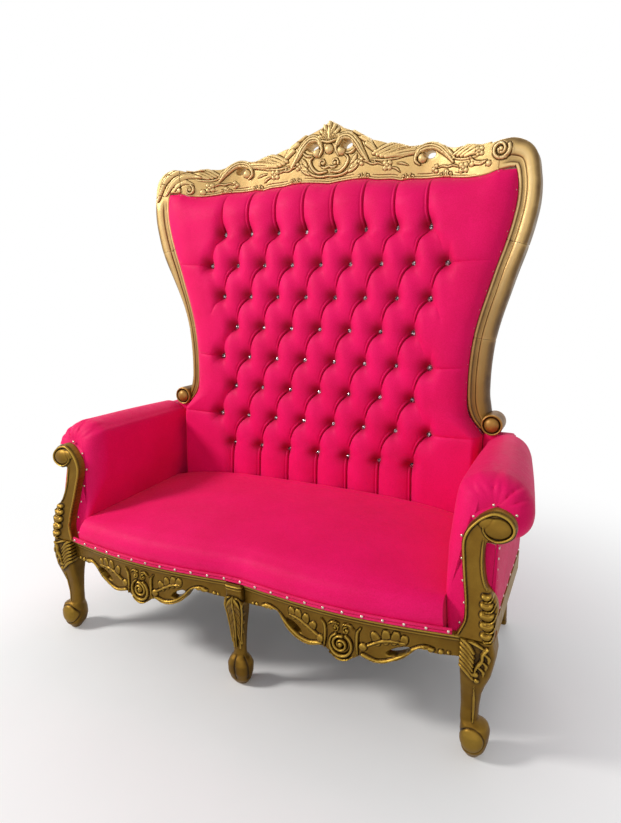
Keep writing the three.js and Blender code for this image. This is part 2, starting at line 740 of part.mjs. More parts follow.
const outsideLowShares = [0, 0.5, 1]
const outsideHighShares = [0, 0.03, 0.06, 0.09, 0.12, 0.16, 0.2, 0.25, 0.31, 0.38, 0.46, 0.55, 0.65, 0.75,
  0.86, 0.91, 0.945, 1]
const outsideHeights = [...outsideLowShares.map((share) => lerp(railBottomHeight, lowerBackHeight, share)),
  ...outsideHighShares.map((share) => lerp(lowerBackHeight + softSeam, outsideTop, share))]
addPiece('outside_back_panel', hollowBoard(railBottomHeight, outsideTop, outsideHalfWidth, panelFront,
  panelFront + outsideBackThickness,
  outsideHeights.map((z) => (z - railBottomHeight) / (outsideTop - railBottomHeight))), pink)

// Buttoned back pad

const rowCount = buttonRowCounts.length
const padBottom = railTopHeight + 2 * springWireRadius + 2 * seam
const buttonBottomRow = buttonTopRow - buttonRowDrop * (rowCount - 1)

function buttonPitch(z) {
  const share = clamp((buttonTopRow - z) / (buttonTopRow - buttonBottomRow), -0.3, 1.3)
  return lerp(buttonPitchTop, buttonPitchBottom, share)
}

// Height of the padding between the pleats, from 0 on a pleat to 1 in the middle of a diamond
function tuft(x, z) {
  const row = clamp((buttonTopRow - z) / buttonRowDrop, 0, rowCount - 1)
  const column = Math.abs(x) / (buttonPitch(z) / 2)
  const rise = Math.abs(Math.cos(Math.PI * (column + row) / 2) * Math.cos(Math.PI * (column - row) / 2))
  const reach = along(buttonRowCounts.map((count, i) => [i, count - 1]), row)
  return lerp(rise ** 0.6, 1, smooth(column - reach))
}

const roundOff = (share) => Math.sqrt(1 - (1 - clamp(share, 0, 1)) ** 2)

function buttonPlane(x, z) {
  const lean = buttonPlaneLean * (z - buttonBottomRow) / (buttonTopRow - buttonBottomRow)
  return buttonPlaneDepth + lean - buttonPlaneHollow * (x / lowerBackHalfWidth) ** 2
}

// Front of the pad: the frame's face along the border, swelling to the buttoned face
function padFront(x, z, top) {
  const side = (backHalfWidth(z) - Math.abs(x) - borderWidth) / paddingFade
  const upper = (top - z - borderWidth) / paddingFade
  const swell = roundOff(side) * roundOff(upper)
  const face = buttonPlane(x, z) - tuftDepth * tuft(x, z)
  return lerp(frameFace(x, z), face, swell)
}

const pitchColumns = 16
const padColumns = []
for (let i = -pitchColumns - 4; i <= pitchColumns + 4; i += 1) padColumns.push(i)
const padHeights = [padBottom, lerp(padBottom, buttonBottomRow, 0.4), lerp(padBottom, buttonBottomRow, 0.6),
  lerp(padBottom, buttonBottomRow, 0.8)]
for (let i = 2 * (rowCount - 1); i >= 0; i -= 1) padHeights.push(buttonTopRow - i * buttonRowDrop / 2)
const padTopShares = [0.35, 0.65, 0.85]

// Columns follow the buttoning in the middle and the pad's edge at the sides
function padX(column, z) {
  const side = Math.sign(column)
  const index = Math.abs(column)
  const inner = Math.min(index, pitchColumns) * buttonPitch(z) / 4
  const outerShares = [0, 0.4, 0.7, 1]
  const limit = backHalfWidth(z)
  if (index <= pitchColumns) return side * Math.min(inner, limit - borderWidth * 2)
  const start = Math.min(pitchColumns * buttonPitch(z) / 4, limit - borderWidth * 2)
  if (index === pitchColumns + 4) return side * limit
  return side * lerp(start, limit - borderWidth, outerShares[index - pitchColumns])
}

const padTop = (x) => crestLower(x) - crestSeam

function padHeight(row, x) {
  if (row < padHeights.length) return padHeights[row]
  const top = padTop(x)
  const high = row - padHeights.length
  if (high < padTopShares.length) return lerp(buttonTopRow, top - borderWidth, padTopShares[high])
  return high === padTopShares.length ? top - borderWidth : top
}

const padRows = [...Array(padHeights.length + padTopShares.length + 2).keys()]

function padSurface(column, row) {
  const guess = padX(column, padHeight(row, 0))
  const z = padHeight(row, guess)
  const x = padX(column, Math.min(z, fabricTopHeight))
  return point(x, padFront(x, z, padTop(x)), z)
}

function padBack(across, row) {
  const share = (padHeight(row, 0) - padBottom) / (padHeight(padRows.length - 1, 0) - padBottom)
  const z = lerp(padBottom, outsideTop, share)
  const x = across * (backHalfWidth(z) - padBackInset)
  return point(x, frameFace(x, z) + padRecess, z)
}

const lowestTuftRow = padHeights.length - 1
const pleatSplit = (i, j) => (i + pitchColumns + lowestTuftRow - j) % 2 === 0
addPiece('back_pad', slab(grid(padColumns, padRows, padSurface, pleatSplit),
  grid(hollowShares, padRows, padBack)), pink)

// Seat: springs from front rail to rear rail, and one tight pad over them

const armNarrow = (share) => 1 - armBackNarrowShare * share

// Inner face of an arm at a height, as shares of the arm's height above the rail
const armInnerShares = [[0, 0.11], [0.26, 0.05], [0.5, 0], [0.72, 0], [1, 0]]

const leanBack = (y, z) => y + postLeanShare * (z - railTopHeight)
const armFront = (z) => leanBack(-postFaceDepth + postThickness + seam, z)

// X of the arm's inner face at a height and a share of the way back
function armInnerFace(z, back) {
  const share = (z - railTopHeight) / (armTopHeight - railTopHeight)
  return armInner + (armRollOut - armInner) * along(armInnerShares, share) * armNarrow(back)
}

function seatTop(across, back) {
  const edge = lerp(seatFrontHeight, seatBackHeight, back)
  const swell = (1 - across ** 4) * along([[0, 0.15], [0.12, 0.45], [0.3, 0.8], [0.6, 1], [1, 0.95]], back)
  return edge + seatCrown * swell
}

// Ring of the seat pad at a share of the half width: up the front, over the crown, down the back
function seatRing(across) {
  const edgeX = (y, z) => {
    const back = clamp((y - armFront(z)) / (armBackDepth - armFront(z)), 0, 1)
    return across * (armInnerFace(z, back) - softSeam)
  }
  const low = padBottom
  const nearX = edgeX(-postFaceDepth, low)
  const front = railFace(nearX) - seatFrontOverhang
  const back = buttonPlane(nearX, low) - tuftDepth - softSeam - buttonPlaneLean * 0.2
  const depth = back - front
  const rim = seatTop(across, 0)
  const rise = rim - low
  const spots = [[back - depth * 0.03, low], [front + depth * 0.02, low], [front, low + rise * 0.1],
    [front - rise * 0.03, low + rise * 0.5], [front + rise * 0.12, low + rise * 0.82],
    [front + rise * 0.4, rim]]
  const topShares = [0.12, 0.28, 0.45, 0.62, 0.8, 0.93]
  topShares.forEach((share) => spots.push([front + depth * share, seatTop(across, share)]))
  spots.push([back, seatTop(across, 1) - rise * 0.1])
  spots.push([back, low + rise * 0.4])
  return spots.map(([y, z]) => point(edgeX(y, z), y, z))
}

const seatColumns = [-1, -0.985, -0.94, -0.86, -0.74, -0.6, -0.45, -0.3, -0.15, -0.05, 0.05, 0.15, 0.3, 0.45,
  0.6, 0.74, 0.86, 0.94, 0.985, 1]
addPiece('seat_pad', loft(seatColumns.map((share) => seatRing(share))), pink)

function sinuousSpring(x) {
  const start = railFace(x) + railThickness * 0.5
  const end = rearRailFront + rearRailThickness * 0.5
  const steps = springTurns * 4
  const z = railTopHeight + seam + springWireRadius
  const spots = evenShares(steps).map((share, i) => {
    const inside = i > 0 && i < steps ? 1 : 0
    return point(x + springAmplitude * inside * Math.sin(i * Math.PI / 2), lerp(start, end, share), z)
  })
  const half = springWireRadius
  const section = new THREE.Shape([[-half, -half], [half, -half], [half, half], [-half, half]].map(
    ([a, b]) => new THREE.Vector2(a, b)))
  const wire = new THREE.CatmullRomCurve3(spots)
  return new THREE.ExtrudeGeometry(section, { steps, bevelEnabled: false, extrudePath: wire })
}

for (let i = 0; i < springCount; i += 1) {
  addPiece(`seat_spring_${i + 1}`, sinuousSpring((i - (springCount - 1) / 2) * springSpacing), steel)
}

const clothSide = rearLegInner - cornerBlockLeg / 6
addPiece('dust_cover', box(-clothSide, clothSide, frontLegBack + seam, rearRailBack - rearLegWidth - seam,
  railBottomHeight - seam - dustCoverThickness, railBottomHeight - seam), cloth)

// Arms: front post, rail, back post, rolled pad and outside panel

// Outline of an arm post from its inner foot up round the scroll, as shares of its width and height
const postShares = [[0.02, 0], [0.12, 0.07], [0.17, 0.14], [0.17, 0.23], [0.14, 0.32], [0.09, 0.44],
  [0.04, 0.58], [0, 0.725], [0.06, 0.82], [0.18, 0.89], [0.35, 0.955], [0.58, 1], [0.82, 0.975],
  [0.95, 0.93], [1, 0.865], [0.96, 0.81], [0.82, 0.767], [0.65, 0.75], [0.5, 0.762], [0.45, 0.72],
  [0.45, 0.615], [0.49, 0.51], [0.55, 0.425], [0.66, 0.37], [0.75, 0.32], [0.79, 0.25], [0.78, 0.144],
  [0.76, 0]]
const postScrollShares = [0.63, 0.868]
const huskShares = [[0.6, 0.33, 0.07], [0.6, 0.26, 0.09], [0.6, 0.19, 0.1], [0.6, 0.12, 0.11],
  [0.6, 0.05, 0.1]]
const postInsetShare = 0.21
const postInner = armInner + (armRollOut - armInner) * postInsetShare

function armPost() {
  const flat = (x, z) => new THREE.Vector2(postInner + postWidth * x, z * postHeight)
  const outline = new THREE.Shape(postShares.map(([x, z]) => flat(x, z)))
  const plate = new THREE.ExtrudeGeometry(outline, { depth: postThickness, bevelEnabled: false })
  plate.rotateX(Math.PI / 2).translate(0, postThickness, 0)
  const scroll = flat(...postScrollShares)
  const eye = dome(0, 0, 0, 1, 0, 12).scale(postWidth * 0.3, postScrollRise / sink, postWidth * 0.23)
  const husks = huskShares.map(([x, z, size]) => {
    const husk = new THREE.SphereGeometry(1, 8, 6).scale(postWidth * size * 1.3, postScrollRise * 0.7,
      postWidth * size)
    const place = flat(x, z)
    return husk.translate(place.x, 0, place.y)
  })
  const post = join(plate, [eye.translate(scroll.x, 0, scroll.y), ...husks])
  const lean = new THREE.Matrix4().makeShear(0, 0, 0, 0, 0, postLeanShare)
  return post.applyMatrix4(lean).translate(0, -postFaceDepth, railTopHeight + seam)
}

addPair('arm_post', armPost(), gold)

// Section of the rolled arm, as shares of the roll's width and of the height over the under side
const rollShares = [[0, 0.42], [0.05, 0.66], [0.17, 0.88], [0.4, 1], [0.64, 0.98], [0.84, 0.85],
  [0.96, 0.64], [1, 0.42], [0.97, 0.2], [0.86, 0.04], [0.72, 0]]

const armHubX = lerp(armInner, armWebOuter, 0.6)
const armHubZ = lerp(armUnderRoll, armTopHeight, 0.4)

// Ring at a share of the way back; the roll is drawn in by a share where the pad ends
function armRing(back, pull) {
  const rollWidth = (armRollOut - armInner) * armNarrow(back)
  const roll = armTopHeight - armUnderRoll
  const place = (x, z) => point(x, lerp(armFront(z), armBackDepth, back), z)
  const inner = [0, 0.26, 0.5].map((share) => {
    const z = lerp(railTopHeight + seam, armTopHeight, share)
    return place(armInnerFace(z, back), z)
  })
  const over = rollShares.map(([x, z]) => {
    const rollX = armInner + rollWidth * x
    const rollZ = armUnderRoll + roll * z
    return place(rollX > armWebOuter ? lerp(armHubX, rollX, pull) : rollX,
      z > 0 ? lerp(armHubZ, rollZ, pull) : rollZ)
  })
  const web = [1, 0.5, 0].map((up) => place(armWebOuter, lerp(railTopHeight + seam, armUnderRoll, up)))
  return [...inner, ...over, ...web]
}

function armPad() {
  const rings = [[0, 0.94], [0.04, 1], [0.3, 1], [0.65, 1], [0.95, 1], [1, 0.94]].map(
    ([back, pull]) => armRing(back, pull))
  return loft(rings, [armFront(armHubZ), armBackDepth].map((y) => point(armHubX, y, armHubZ)))
}

addPair('arm_pad', armPad(), pink)

const armRailTop = armUnderRoll - seam
const armRailLow = armRailTop - armRailHeight
const armFrameX = armWebOuter + seam
const armFrontFace = armFront(armRailTop)
const backPostFront = armBackDepth - armBackPostDepth
addPair('arm_rail', box(armFrameX, armFrameX + armRailWidth, armFrontFace, backPostFront - seam, armRailLow,
  armRailTop), timber)
addPair('arm_back_post', box(armFrameX, armFrameX + armRailWidth, backPostFront, armBackDepth,
  railTopHeight + seam, armRailTop), timber)

function outsideArmPanel() {
  const near = armFrameX + armRailWidth + seam
  const sheet = (x) => grid([0, 1], [0, 0.35, 0.7, 1], (u, v) => {
    const z = lerp(railTopHeight + seam, armRailTop, v)
    const bulge = Math.sin(Math.PI * v) * outerPanelThickness * 0.4
    return point(x + (x > near ? bulge : 0), lerp(armFront(z), armBackDepth, u), z)
  })
  return slab(sheet(near), sheet(near + outerPanelThickness))
}

addPair('outside_arm_panel', outsideArmPanel(), pink)

// Gimp along the seat's front edge, with its row of nail heads

function frontGimp() {
  const start = seam / 2
  const end = postInner + postWidth * postShares[0][0] - seam - nailRadius / 2
  const rings = evenShares(16).map((share) => {
    const x = lerp(start, end, share)
    const face = railFace(x) - seatFrontOverhang - softSeam * 2
    const profileShares = [[0, 0.1], [0.6, 0], [1, 0.25], [0.72, 0.5], [1, 0.75], [0.6, 1], [0, 0.9]]
    return profileShares.map(([out, up]) => point(x, face - gimpDepth * out, padBottom + gimpHeight * up))
  })
  const count = Math.round((end - start) / nailSpacing)
  const nails = evenShares(count).slice(0, -1).map((share) => {
    const x = lerp(start, end, share + 0.5 / count)
    const face = railFace(x) - seatFrontOverhang - softSeam * 2 - gimpDepth * 0.85
    return dome(x, face, padBottom + gimpHeight / 2, nailRadius, nailRise)
  })
  return join(loft(rings), nails)
}

addPair('front_gimp', frontGimp(), pink)

// Border strips round the buttoned back: one up each stile and one under the crest, with nail heads

function borderStrip(spots, splits) {
  const sheet = (depth) => grid([0, 1], spots.map((_, i) => i), (u, v) => {
    const spot = spots[v][u]
    return point(spot.x, spot.y - depth, spot.z)
  }, splits)
  const strip = slab(sheet(softSeam), sheet(softSeam + borderStripDepth))
  const middles = spots.map((pair) => pair[0].clone().lerp(pair[1], 0.5))
  const line = new THREE.CurvePath()
  middles.slice(1).forEach((spot, i) => line.add(new THREE.LineCurve3(middles[i], spot)))
  const count = Math.round(line.getLength() / nailSpacing)
  const nails = evenShares(count).slice(0, -1).map((share) => {
    const spot = line.getPointAt(share + 0.5 / count)
    return dome(spot.x, spot.y - softSeam - borderStripDepth, spot.z, nailRadius * 0.8, nailRise * 0.8)
  })
  return join(strip, nails)
}

const lastColumn = padColumns.length - 1
const lastRow = padRows.length - 1
const firstRow = padRows.find((row) => padHeight(row, 0) > waistHeight - stileWidth)
const sideSpots = padRows.slice(firstRow, lastRow).map(
  (row) => [padSurface(padColumns[lastColumn - 1], row), padSurface(padColumns[lastColumn], row)])
const sideStrip = borderStrip(sideSpots, (i, j) => pleatSplit(lastColumn - 1, firstRow + j))
addPair('stile_border', sideStrip, pink)
const topSpots = padColumns.slice(1, -1).map((column) => [padSurface(column, lastRow - 1),
  padSurface(column, lastRow)])
addPiece('crest_border', borderStrip(topSpots, (i, j) => pleatSplit(1 + j, lastRow - 1)), pink)

// The origin goes under the middle of the whole box
const extent = new THREE.Box3().setFromObject(settee)
settee.position.set(0, -(extent.min.y + extent.max.y) / 2, 0)

export default settee
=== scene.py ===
import math

import bmesh
import bpy
import numpy as np
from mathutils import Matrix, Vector


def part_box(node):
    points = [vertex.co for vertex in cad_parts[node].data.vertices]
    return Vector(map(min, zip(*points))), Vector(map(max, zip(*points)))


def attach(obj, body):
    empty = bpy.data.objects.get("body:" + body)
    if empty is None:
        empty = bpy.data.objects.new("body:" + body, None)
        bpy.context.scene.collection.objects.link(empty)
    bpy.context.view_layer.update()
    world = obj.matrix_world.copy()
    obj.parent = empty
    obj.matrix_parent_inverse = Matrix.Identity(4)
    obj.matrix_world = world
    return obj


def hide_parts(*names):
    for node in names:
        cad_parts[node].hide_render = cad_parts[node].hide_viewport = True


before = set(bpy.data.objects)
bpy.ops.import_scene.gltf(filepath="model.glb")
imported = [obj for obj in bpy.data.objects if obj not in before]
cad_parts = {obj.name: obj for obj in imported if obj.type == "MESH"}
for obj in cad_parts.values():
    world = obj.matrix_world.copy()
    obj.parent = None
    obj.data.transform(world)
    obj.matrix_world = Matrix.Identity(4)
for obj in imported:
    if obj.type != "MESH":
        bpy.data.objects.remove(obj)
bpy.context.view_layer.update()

# Sizes in millimetres, as in the part's source; make() turns them into metres
MM = 1000
SIDES = (("right", 1), ("left", -1))
SEAM, SOFT_SEAM, CREST_SEAM = 0.3, 0.8, 1
RAIL_TOP, RAIL_BOTTOM = 349, 285
CENTRE_FACE, CORNER_FACE, RAIL_BOW, RAIL_THICK = 353, 340, 30, 34
CORNER_X, APRON_DROP = 672, 152
REAR_RAIL_FRONT, REAR_RAIL_THICK = 268, 37
LEG_DEPTH, LEG_WIDTH, LEG_FACE = 86, 83, 360
CENTRE_LEG_WIDTH, CENTRE_LEG_DEPTH, CENTRE_LEG_FACE = 58, 56, 370
REAR_LEG_HALF, REAR_LEG_INNER, REAR_LEG_SPLAY = 31, 659, 97
LOWER_HALF, LOWER_BACK, WAIST, WAIST_HALF = 600, 728, 885, 541
SHOULDER, SHOULDER_HALF, FABRIC_TOP = 1500, 660, 1572
STILE_WIDTH, SCROLL_RADIUS, JOINT_LOW, JOINT_HIGH = 64, 31, 1049, 1352
CREST_HALF, CREST_END, CREST_PEAK = 600, 84, 1788
STILE_FACE, HOLLOW, HOLLOW_FOOT, BACK_THICK = 255, 75, 480, 70
TURN, TURN_LOW, TURN_HIGH = 52, 1080, 1380
BUTTON_TOP, BUTTON_DROP, BUTTON_COUNTS = 1407, 115.3, [8, 9, 8, 7, 8, 7, 8, 7]
PITCH_TOP, PITCH_BOTTOM = 113.4, 122.1
PLANE, PLANE_LEAN, PLANE_HOLLOW, TUFT, BUTTON_DEPTH = 246, 22, 17, 26, 35
ARM_TOP, ARM_OUT, ARM_IN, ARM_UNDER, ARM_WEB, ARM_BACK = 744, 823, 609, 586, 705, 254
ARM_NARROW, ARM_RAIL_WIDTH = 0.2, 30
POST_FACE, POST_THICK, POST_LEAN, POST_WIDTH, POST_HEIGHT = 358, 28, 0.2, 130, 327
PAD_RECESS, BATTEN_THICK = 22, 27
SEAT_FRONT, SEAT_BACK, SEAT_CROWN, SEAT_OVER = 432, 448, 42, 8
PAD_BOTTOM = RAIL_TOP + 4 + 2 * SEAM
POST_BASE = RAIL_TOP + SEAM
SHIFT_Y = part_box("rear_rail")[0].y * MM - REAR_RAIL_FRONT


def clamp(v, lo=0.0, hi=1.0):
    return np.clip(v, lo, hi)


def smooth(v):
    s = clamp(v)
    return s * s * (3 - 2 * s)


def lerp(a, b, t):
    return a + (b - a) * t


def bell(v, width):
    return np.exp(-((v / width) ** 2))


def cap(q):
    """Height of a round cap of 1, from the square of the share of its reach."""
    return np.sqrt(np.maximum(1 - q, 0))


def round_off(v):
    """A quarter round that rises from 0 at an edge to 1."""
    return np.sqrt(1 - (1 - clamp(v)) ** 2)


def unit(v):
    return v / np.maximum(np.linalg.norm(v, axis=-1, keepdims=True), 1e-6)


def table(rows, v):
    rows = np.asarray(rows, float)
    return np.interp(v, rows[:, 0], rows[:, 1])


def spline(points, count):
    """Smooth open curve through a row of points, evenly sampled."""
    p = np.asarray(points, float)
    p = np.vstack([2 * p[0] - p[1], p, 2 * p[-1] - p[-2]])
    t = np.linspace(0, len(p) - 3, count)
    i = np.minimum(t.astype(int), len(p) - 4)
    w = (t - i)[:, None]
    a, b, c, d = p[i], p[i + 1], p[i + 2], p[i + 3]
    return 0.5 * (2 * b + (c - a) * w + (2 * a - 5 * b + 4 * c - d) * w**2 + (3 * b - a - 3 * c + d) * w**3)


def lengths(path):
    """Length along a path up to each of its points."""
    return np.concatenate([[0], np.cumsum(np.hypot(*np.diff(path, axis=0).T))])


def segment(x, z, start, end):
    """Share along a segment of the spot nearest to each place, and its distance squared."""
    (ax, az), (bx, bz) = start, end
    dx, dz = bx - ax, bz - az
    t = clamp(((x - ax) * dx + (z - az) * dz) / max(dx * dx + dz * dz, 1e-9))
    return t, (x - ax - t * dx) ** 2 + (z - az - t * dz) ** 2


# Materials


def fill(tree, n, **values):
    """Set a node's inputs and properties by name, with _ for a space; a socket is linked to the input."""
    for key, value in values.items():
        name = key.replace("_", " ")
        if name not in n.inputs:
            setattr(n, key, value)
        elif isinstance(value, bpy.types.NodeSocket):
            tree.links.new(value, n.inputs[name])
        else:
            n.inputs[name].default_value = value
    return n


def node(tree, kind, **values):
    return fill(tree, tree.nodes.new(kind), **values)


def object_place(tree):
    return node(tree, "ShaderNodeTexCoord").outputs["Object"]


def new_material(name):
    material = bpy.data.materials.new(name)
    material.use_nodes = True
    tree = material.node_tree
    return material, tree, tree.nodes["Principled BSDF"]


def ramp(tree, source, stops):
    """Colours at places along a value; a single number is a grey."""
    n = node(tree, "ShaderNodeValToRGB", Fac=source)
    while len(n.color_ramp.elements) < len(stops):
        n.color_ramp.elements.new(0.5)
    for element, (place, colour) in zip(n.color_ramp.elements, stops):
        element.position = place
        element.color = [float(c) for c in np.broadcast_to(colour, 3)] + [1]
    return n.outputs["Color"]


def mix(tree, factor, a, b, kind="MIX"):
    n = node(tree, "ShaderNodeMix", data_type="RGBA", blend_type=kind)
    for socket, value in ((n.inputs[0], factor), (n.inputs[6], a), (n.inputs[7], b)):
        if isinstance(value, bpy.types.NodeSocket):
            tree.links.new(value, socket)
        else:
            socket.default_value = (*value, 1) if isinstance(value, tuple) else value
    return n.outputs[2]


def map_range(tree, value, low, high, kind="LINEAR"):
    n = node(tree, "ShaderNodeMapRange", interpolation_type=kind, Value=value, From_Min=low, From_Max=high)
    return n.outputs["Result"]


def shade_and_wear_of(tree, high):
    """0 in the deepest recesses and darkest painted shade, 1 where the mesh's shade-and-wear marks are at the given
    height.
    """
    return map_range(tree, node(tree, "ShaderNodeAttribute", attribute_name="shade_and_wear").outputs["Fac"], -1, high)


def bump(tree, height, strength, distance, **before):
    return node(tree, "ShaderNodeBump", Strength=strength, Distance=distance, Height=height, **before).outputs["Normal"]


def noise(tree, scale, detail=4.0, rough=0.55, place=None):
    return node(tree, "ShaderNodeTexNoise", Scale=scale, Detail=detail, Roughness=rough,
                Vector=place or object_place(tree)).outputs["Fac"]


def leather(name, colour, deep, grain=700.0):
    """Mottled, pored leather with a fine grain, with painted shade where the mesh's shade-and-wear marks are low: in
    the button pits and along the folds.
    """
    material, tree, bsdf = new_material(name)
    mottle = ramp(tree, noise(tree, 7, 5), [(0.3, deep), (0.7, colour)])
    # Painted shade: a dark wine red multiplied into the colour where the marks fall below 0
    painted_tone = mix(tree, shade_and_wear_of(tree, 0), (0.42, 0.06, 0.18), (1, 1, 1))
    pores = ramp(tree, noise(tree, grain * 0.36, 3, 0.75), [(0.36, (0.91, 0.45, 0.76)), (0.62, 1)])
    shaded = mix(tree, 1.0, mottle, painted_tone, "MULTIPLY")
    cells = node(tree, "ShaderNodeTexVoronoi", Scale=grain, feature="SMOOTH_F1", Vector=object_place(tree))
    fine = bump(tree, cells.outputs["Distance"], 0.5, 0.0008)
    fill(tree, bsdf, Base_Color=mix(tree, 1.0, shaded, pores, "MULTIPLY"),
         Roughness=ramp(tree, noise(tree, 60, 3), [(0.3, 0.5), (0.7, 0.64)]),
         Normal=bump(tree, noise(tree, 38, 4), 0.18, 0.0022, Normal=fine), Sheen_Weight=0.05, Specular_IOR_Level=0.13)
    return material


def gilt(name, dark, middle, light, metallic, low_tint=(1, 1, 1)):
    """Gold paint over carved wood: dark in the recesses and rubbed bright on what stands out, partly the gilt's own
    glaze and wear and partly painted shade and highlight; darker and browner low down.
    """
    material, tree, bsdf = new_material(name)
    edge = node(tree, "ShaderNodeNewGeometry").outputs["Pointiness"]
    # Dark in the recesses, bright on edges and on what stands out: partly glaze and rubbing, partly painted shade and
    # highlight
    worn_and_shaded = mix(tree, 0.35, shade_and_wear_of(tree, 1), ramp(tree, edge, [(0.43, 0), (0.5, 0.5), (0.57, 1)]))
    colour = ramp(tree, mix(tree, 0.2, worn_and_shaded, noise(tree, 22, 6)), [(0.18, dark), (0.48, middle), (0.8, light)])
    height = node(tree, "ShaderNodeSeparateXYZ", Vector=object_place(tree)).outputs["Z"]
    tint = mix(tree, map_range(tree, height, 0.8, 1.55), low_tint, (1, 1, 1))
    grain = bump(tree, noise(tree, 170, 6, 0.7), 0.45, 0.001)
    fill(tree, bsdf, Base_Color=mix(tree, 1.0, colour, tint, "MULTIPLY"), Metallic=metallic,
         Roughness=ramp(tree, noise(tree, 34, 5), [(0.3, 0.36), (0.7, 0.54)]),
         Normal=bump(tree, noise(tree, 30, 4), 0.3, 0.003, Normal=grain))
    return material


def plain(name, stops, scale, roughness, metallic=0.0, bump_scale=300, stretch=(1, 1, 1)):
    """Two or three tones in a grain that can be stretched along an axis."""
    material, tree, bsdf = new_material(name)
    place = node(tree, "ShaderNodeMapping", Scale=stretch, Vector=object_place(tree)).outputs["Vector"]
    fill(tree, bsdf, Base_Color=ramp(tree, noise(tree, scale, 6, 0.5, place), stops),
         Normal=bump(tree, noise(tree, bump_scale, 3), 0.2, 0.0005), Roughness=roughness, Metallic=metallic)
    return material


PINK = leather("pink_leather", (0.87, 0.003, 0.145), (0.78, 0.002, 0.115))
PIPING = leather("pink_piping", (0.83, 0.02, 0.15), (0.70, 0.008, 0.10), 900)
GOLD = gilt("antique_gold", (0.014, 0.006, 0.0006), (0.160, 0.080, 0.005), (0.36, 0.220, 0.03), 0.78)
CREST_GOLD = gilt("crest_gold", (0.085, 0.036, 0.006), (0.60, 0.395, 0.14), (0.77, 0.57, 0.27), 0.45,
                  (0.47, 0.33, 0.12))
TIMBER = plain("frame_timber", [(0.3, (0.30, 0.18, 0.09)), (0.7, (0.50, 0.33, 0.18))], 9, 0.75, stretch=(1, 9, 9))
STEEL = plain("spring_steel", [(0.3, (0.30, 0.31, 0.32)), (0.7, (0.45, 0.46, 0.47))], 60, 0.35, 0.9)
CLOTH = plain("dust_cloth", [(0.3, 0.010), (0.7, 0.028)], 260, 0.95, bump_scale=900)
# The crystal's colour is painted reflection: dark, pinkish and white patches stand for glints in its facets and the
# pink leather seen in them
CRYSTAL = plain("crystal", [(0.42, (0.03, 0.01, 0.02)), (0.52, (0.26, 0.19, 0.21)), (0.64, (0.78, 0.72, 0.76))],
                190, 0.16, 0.7)
NAIL = plain("nail_metal", [(0.3, (0.42, 0.33, 0.25)), (0.7, (0.70, 0.60, 0.50))], 150, 0.28, 0.8)

# Meshes


def make(name, points, faces, material, slot, replaces=(), shade_and_wear=None, sharp=38):
    """A visible piece, its points in millimetres; its shade-and-wear marks, painted shade and wear for its colour,
    belong to its first points, the rest have 0.
    """
    points = np.array(points, float)
    points[:, 1] += SHIFT_Y
    mesh = bpy.data.meshes.new(name)
    mesh.from_pydata((points / MM).tolist(), [], [tuple(int(i) for i in f) for f in faces])
    if shade_and_wear is not None:
        marks = np.zeros(len(points), np.float32)
        marks[:np.size(shade_and_wear)] = np.ravel(shade_and_wear)
        mesh.attributes.new("shade_and_wear", "FLOAT", "POINT").data.foreach_set("value", marks)
    bm = bmesh.new()
    bm.from_mesh(mesh)
    bmesh.ops.recalc_face_normals(bm, faces=bm.faces)
    bm.to_mesh(mesh)
    bm.free()
    mesh.polygons.foreach_set("use_smooth", np.ones(len(mesh.polygons), bool))
    mesh.set_sharp_from_angle(angle=math.radians(sharp))
    mesh.materials.append(material)
    piece = bpy.data.objects.new(name, mesh)
    bpy.context.scene.collection.objects.link(piece)
    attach(piece, "root")
    if replaces:
        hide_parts(*replaces)
    return piece


def make_pair(name, points, faces, material, slot, replaced=None, shade_and_wear=None, sharp=38):
    """A piece on the right and its mirror image on the left; {} in a name stands for the side."""
    return [make(name.format(side), points * (sign, 1, 1), faces, material, slot,
                 [replaced.format(side)] if replaced else (), shade_and_wear, sharp) for side, sign in SIDES]


def sheet_faces(rows, columns, wrap=False):
    i, j = np.meshgrid(np.arange(columns if wrap else columns - 1), np.arange(rows - 1))
    a = j * columns + i
    b = j * columns + (i + 1) % columns
    return np.stack([a, b, b + columns, a + columns], -1).reshape(-1, 4)


def border_ring(rows, columns):
    """Numbers of a grid's outermost points, in turn."""
    return np.concatenate([np.arange(columns), np.arange(1, rows) * columns + columns - 1,
                           (rows - 1) * columns + np.arange(columns - 2, -1, -1), np.arange(rows - 2, 0, -1) * columns])


def slab(front, back):
    """Points and faces of a sheet with a front, a back and closed edges, from two grids of points."""
    rows, columns = front.shape[:2]
    total = rows * columns
    faces = sheet_faces(rows, columns)
    ring = border_ring(rows, columns)
    after = np.roll(ring, -1)
    walls = np.stack([ring, ring + total, after + total, after], -1)
    return np.vstack([front.reshape(-1, 3), back.reshape(-1, 3)]), np.vstack([faces, faces[:, ::-1] + total, walls])


def tube_mesh(rings, hubs=None):
    """Closed mesh through rings of points; its ends are fans round the hubs, or round the end rings' middles."""
    rings = np.asarray(rings, float)
    rows, columns = rings.shape[:2]
    points = np.vstack([rings.reshape(-1, 3), (rings[0].mean(0), rings[-1].mean(0)) if hubs is None else hubs])
    faces = sheet_faces(rows, columns, True).tolist()
    for end, start in enumerate((0, (rows - 1) * columns)):
        faces += [[start + k, start + (k + 1) % columns, rows * columns + end] for k in range(columns)]
    return points, faces


def blur(field, reach):
    """Mean over a square of points."""
    for axis in (0, 1):
        pad = [(reach + 1, reach) if a == axis else (0, 0) for a in (0, 1)]
        total = np.cumsum(np.pad(field, pad, mode="edge"), axis=axis)
        n = field.shape[axis]
        high = np.take(total, np.arange(2 * reach + 1, 2 * reach + 1 + n), axis=axis)
        field = (high - np.take(total, np.arange(n), axis=axis)) / (2 * reach + 1)
    return field


def standing_out(h, reach):
    """How far each point stands out from what is round it, from -1 to 1."""
    return clamp((h - blur(h, reach)) / 1.7, -1, 1)


# Carving

FAR_OUT = -9.0


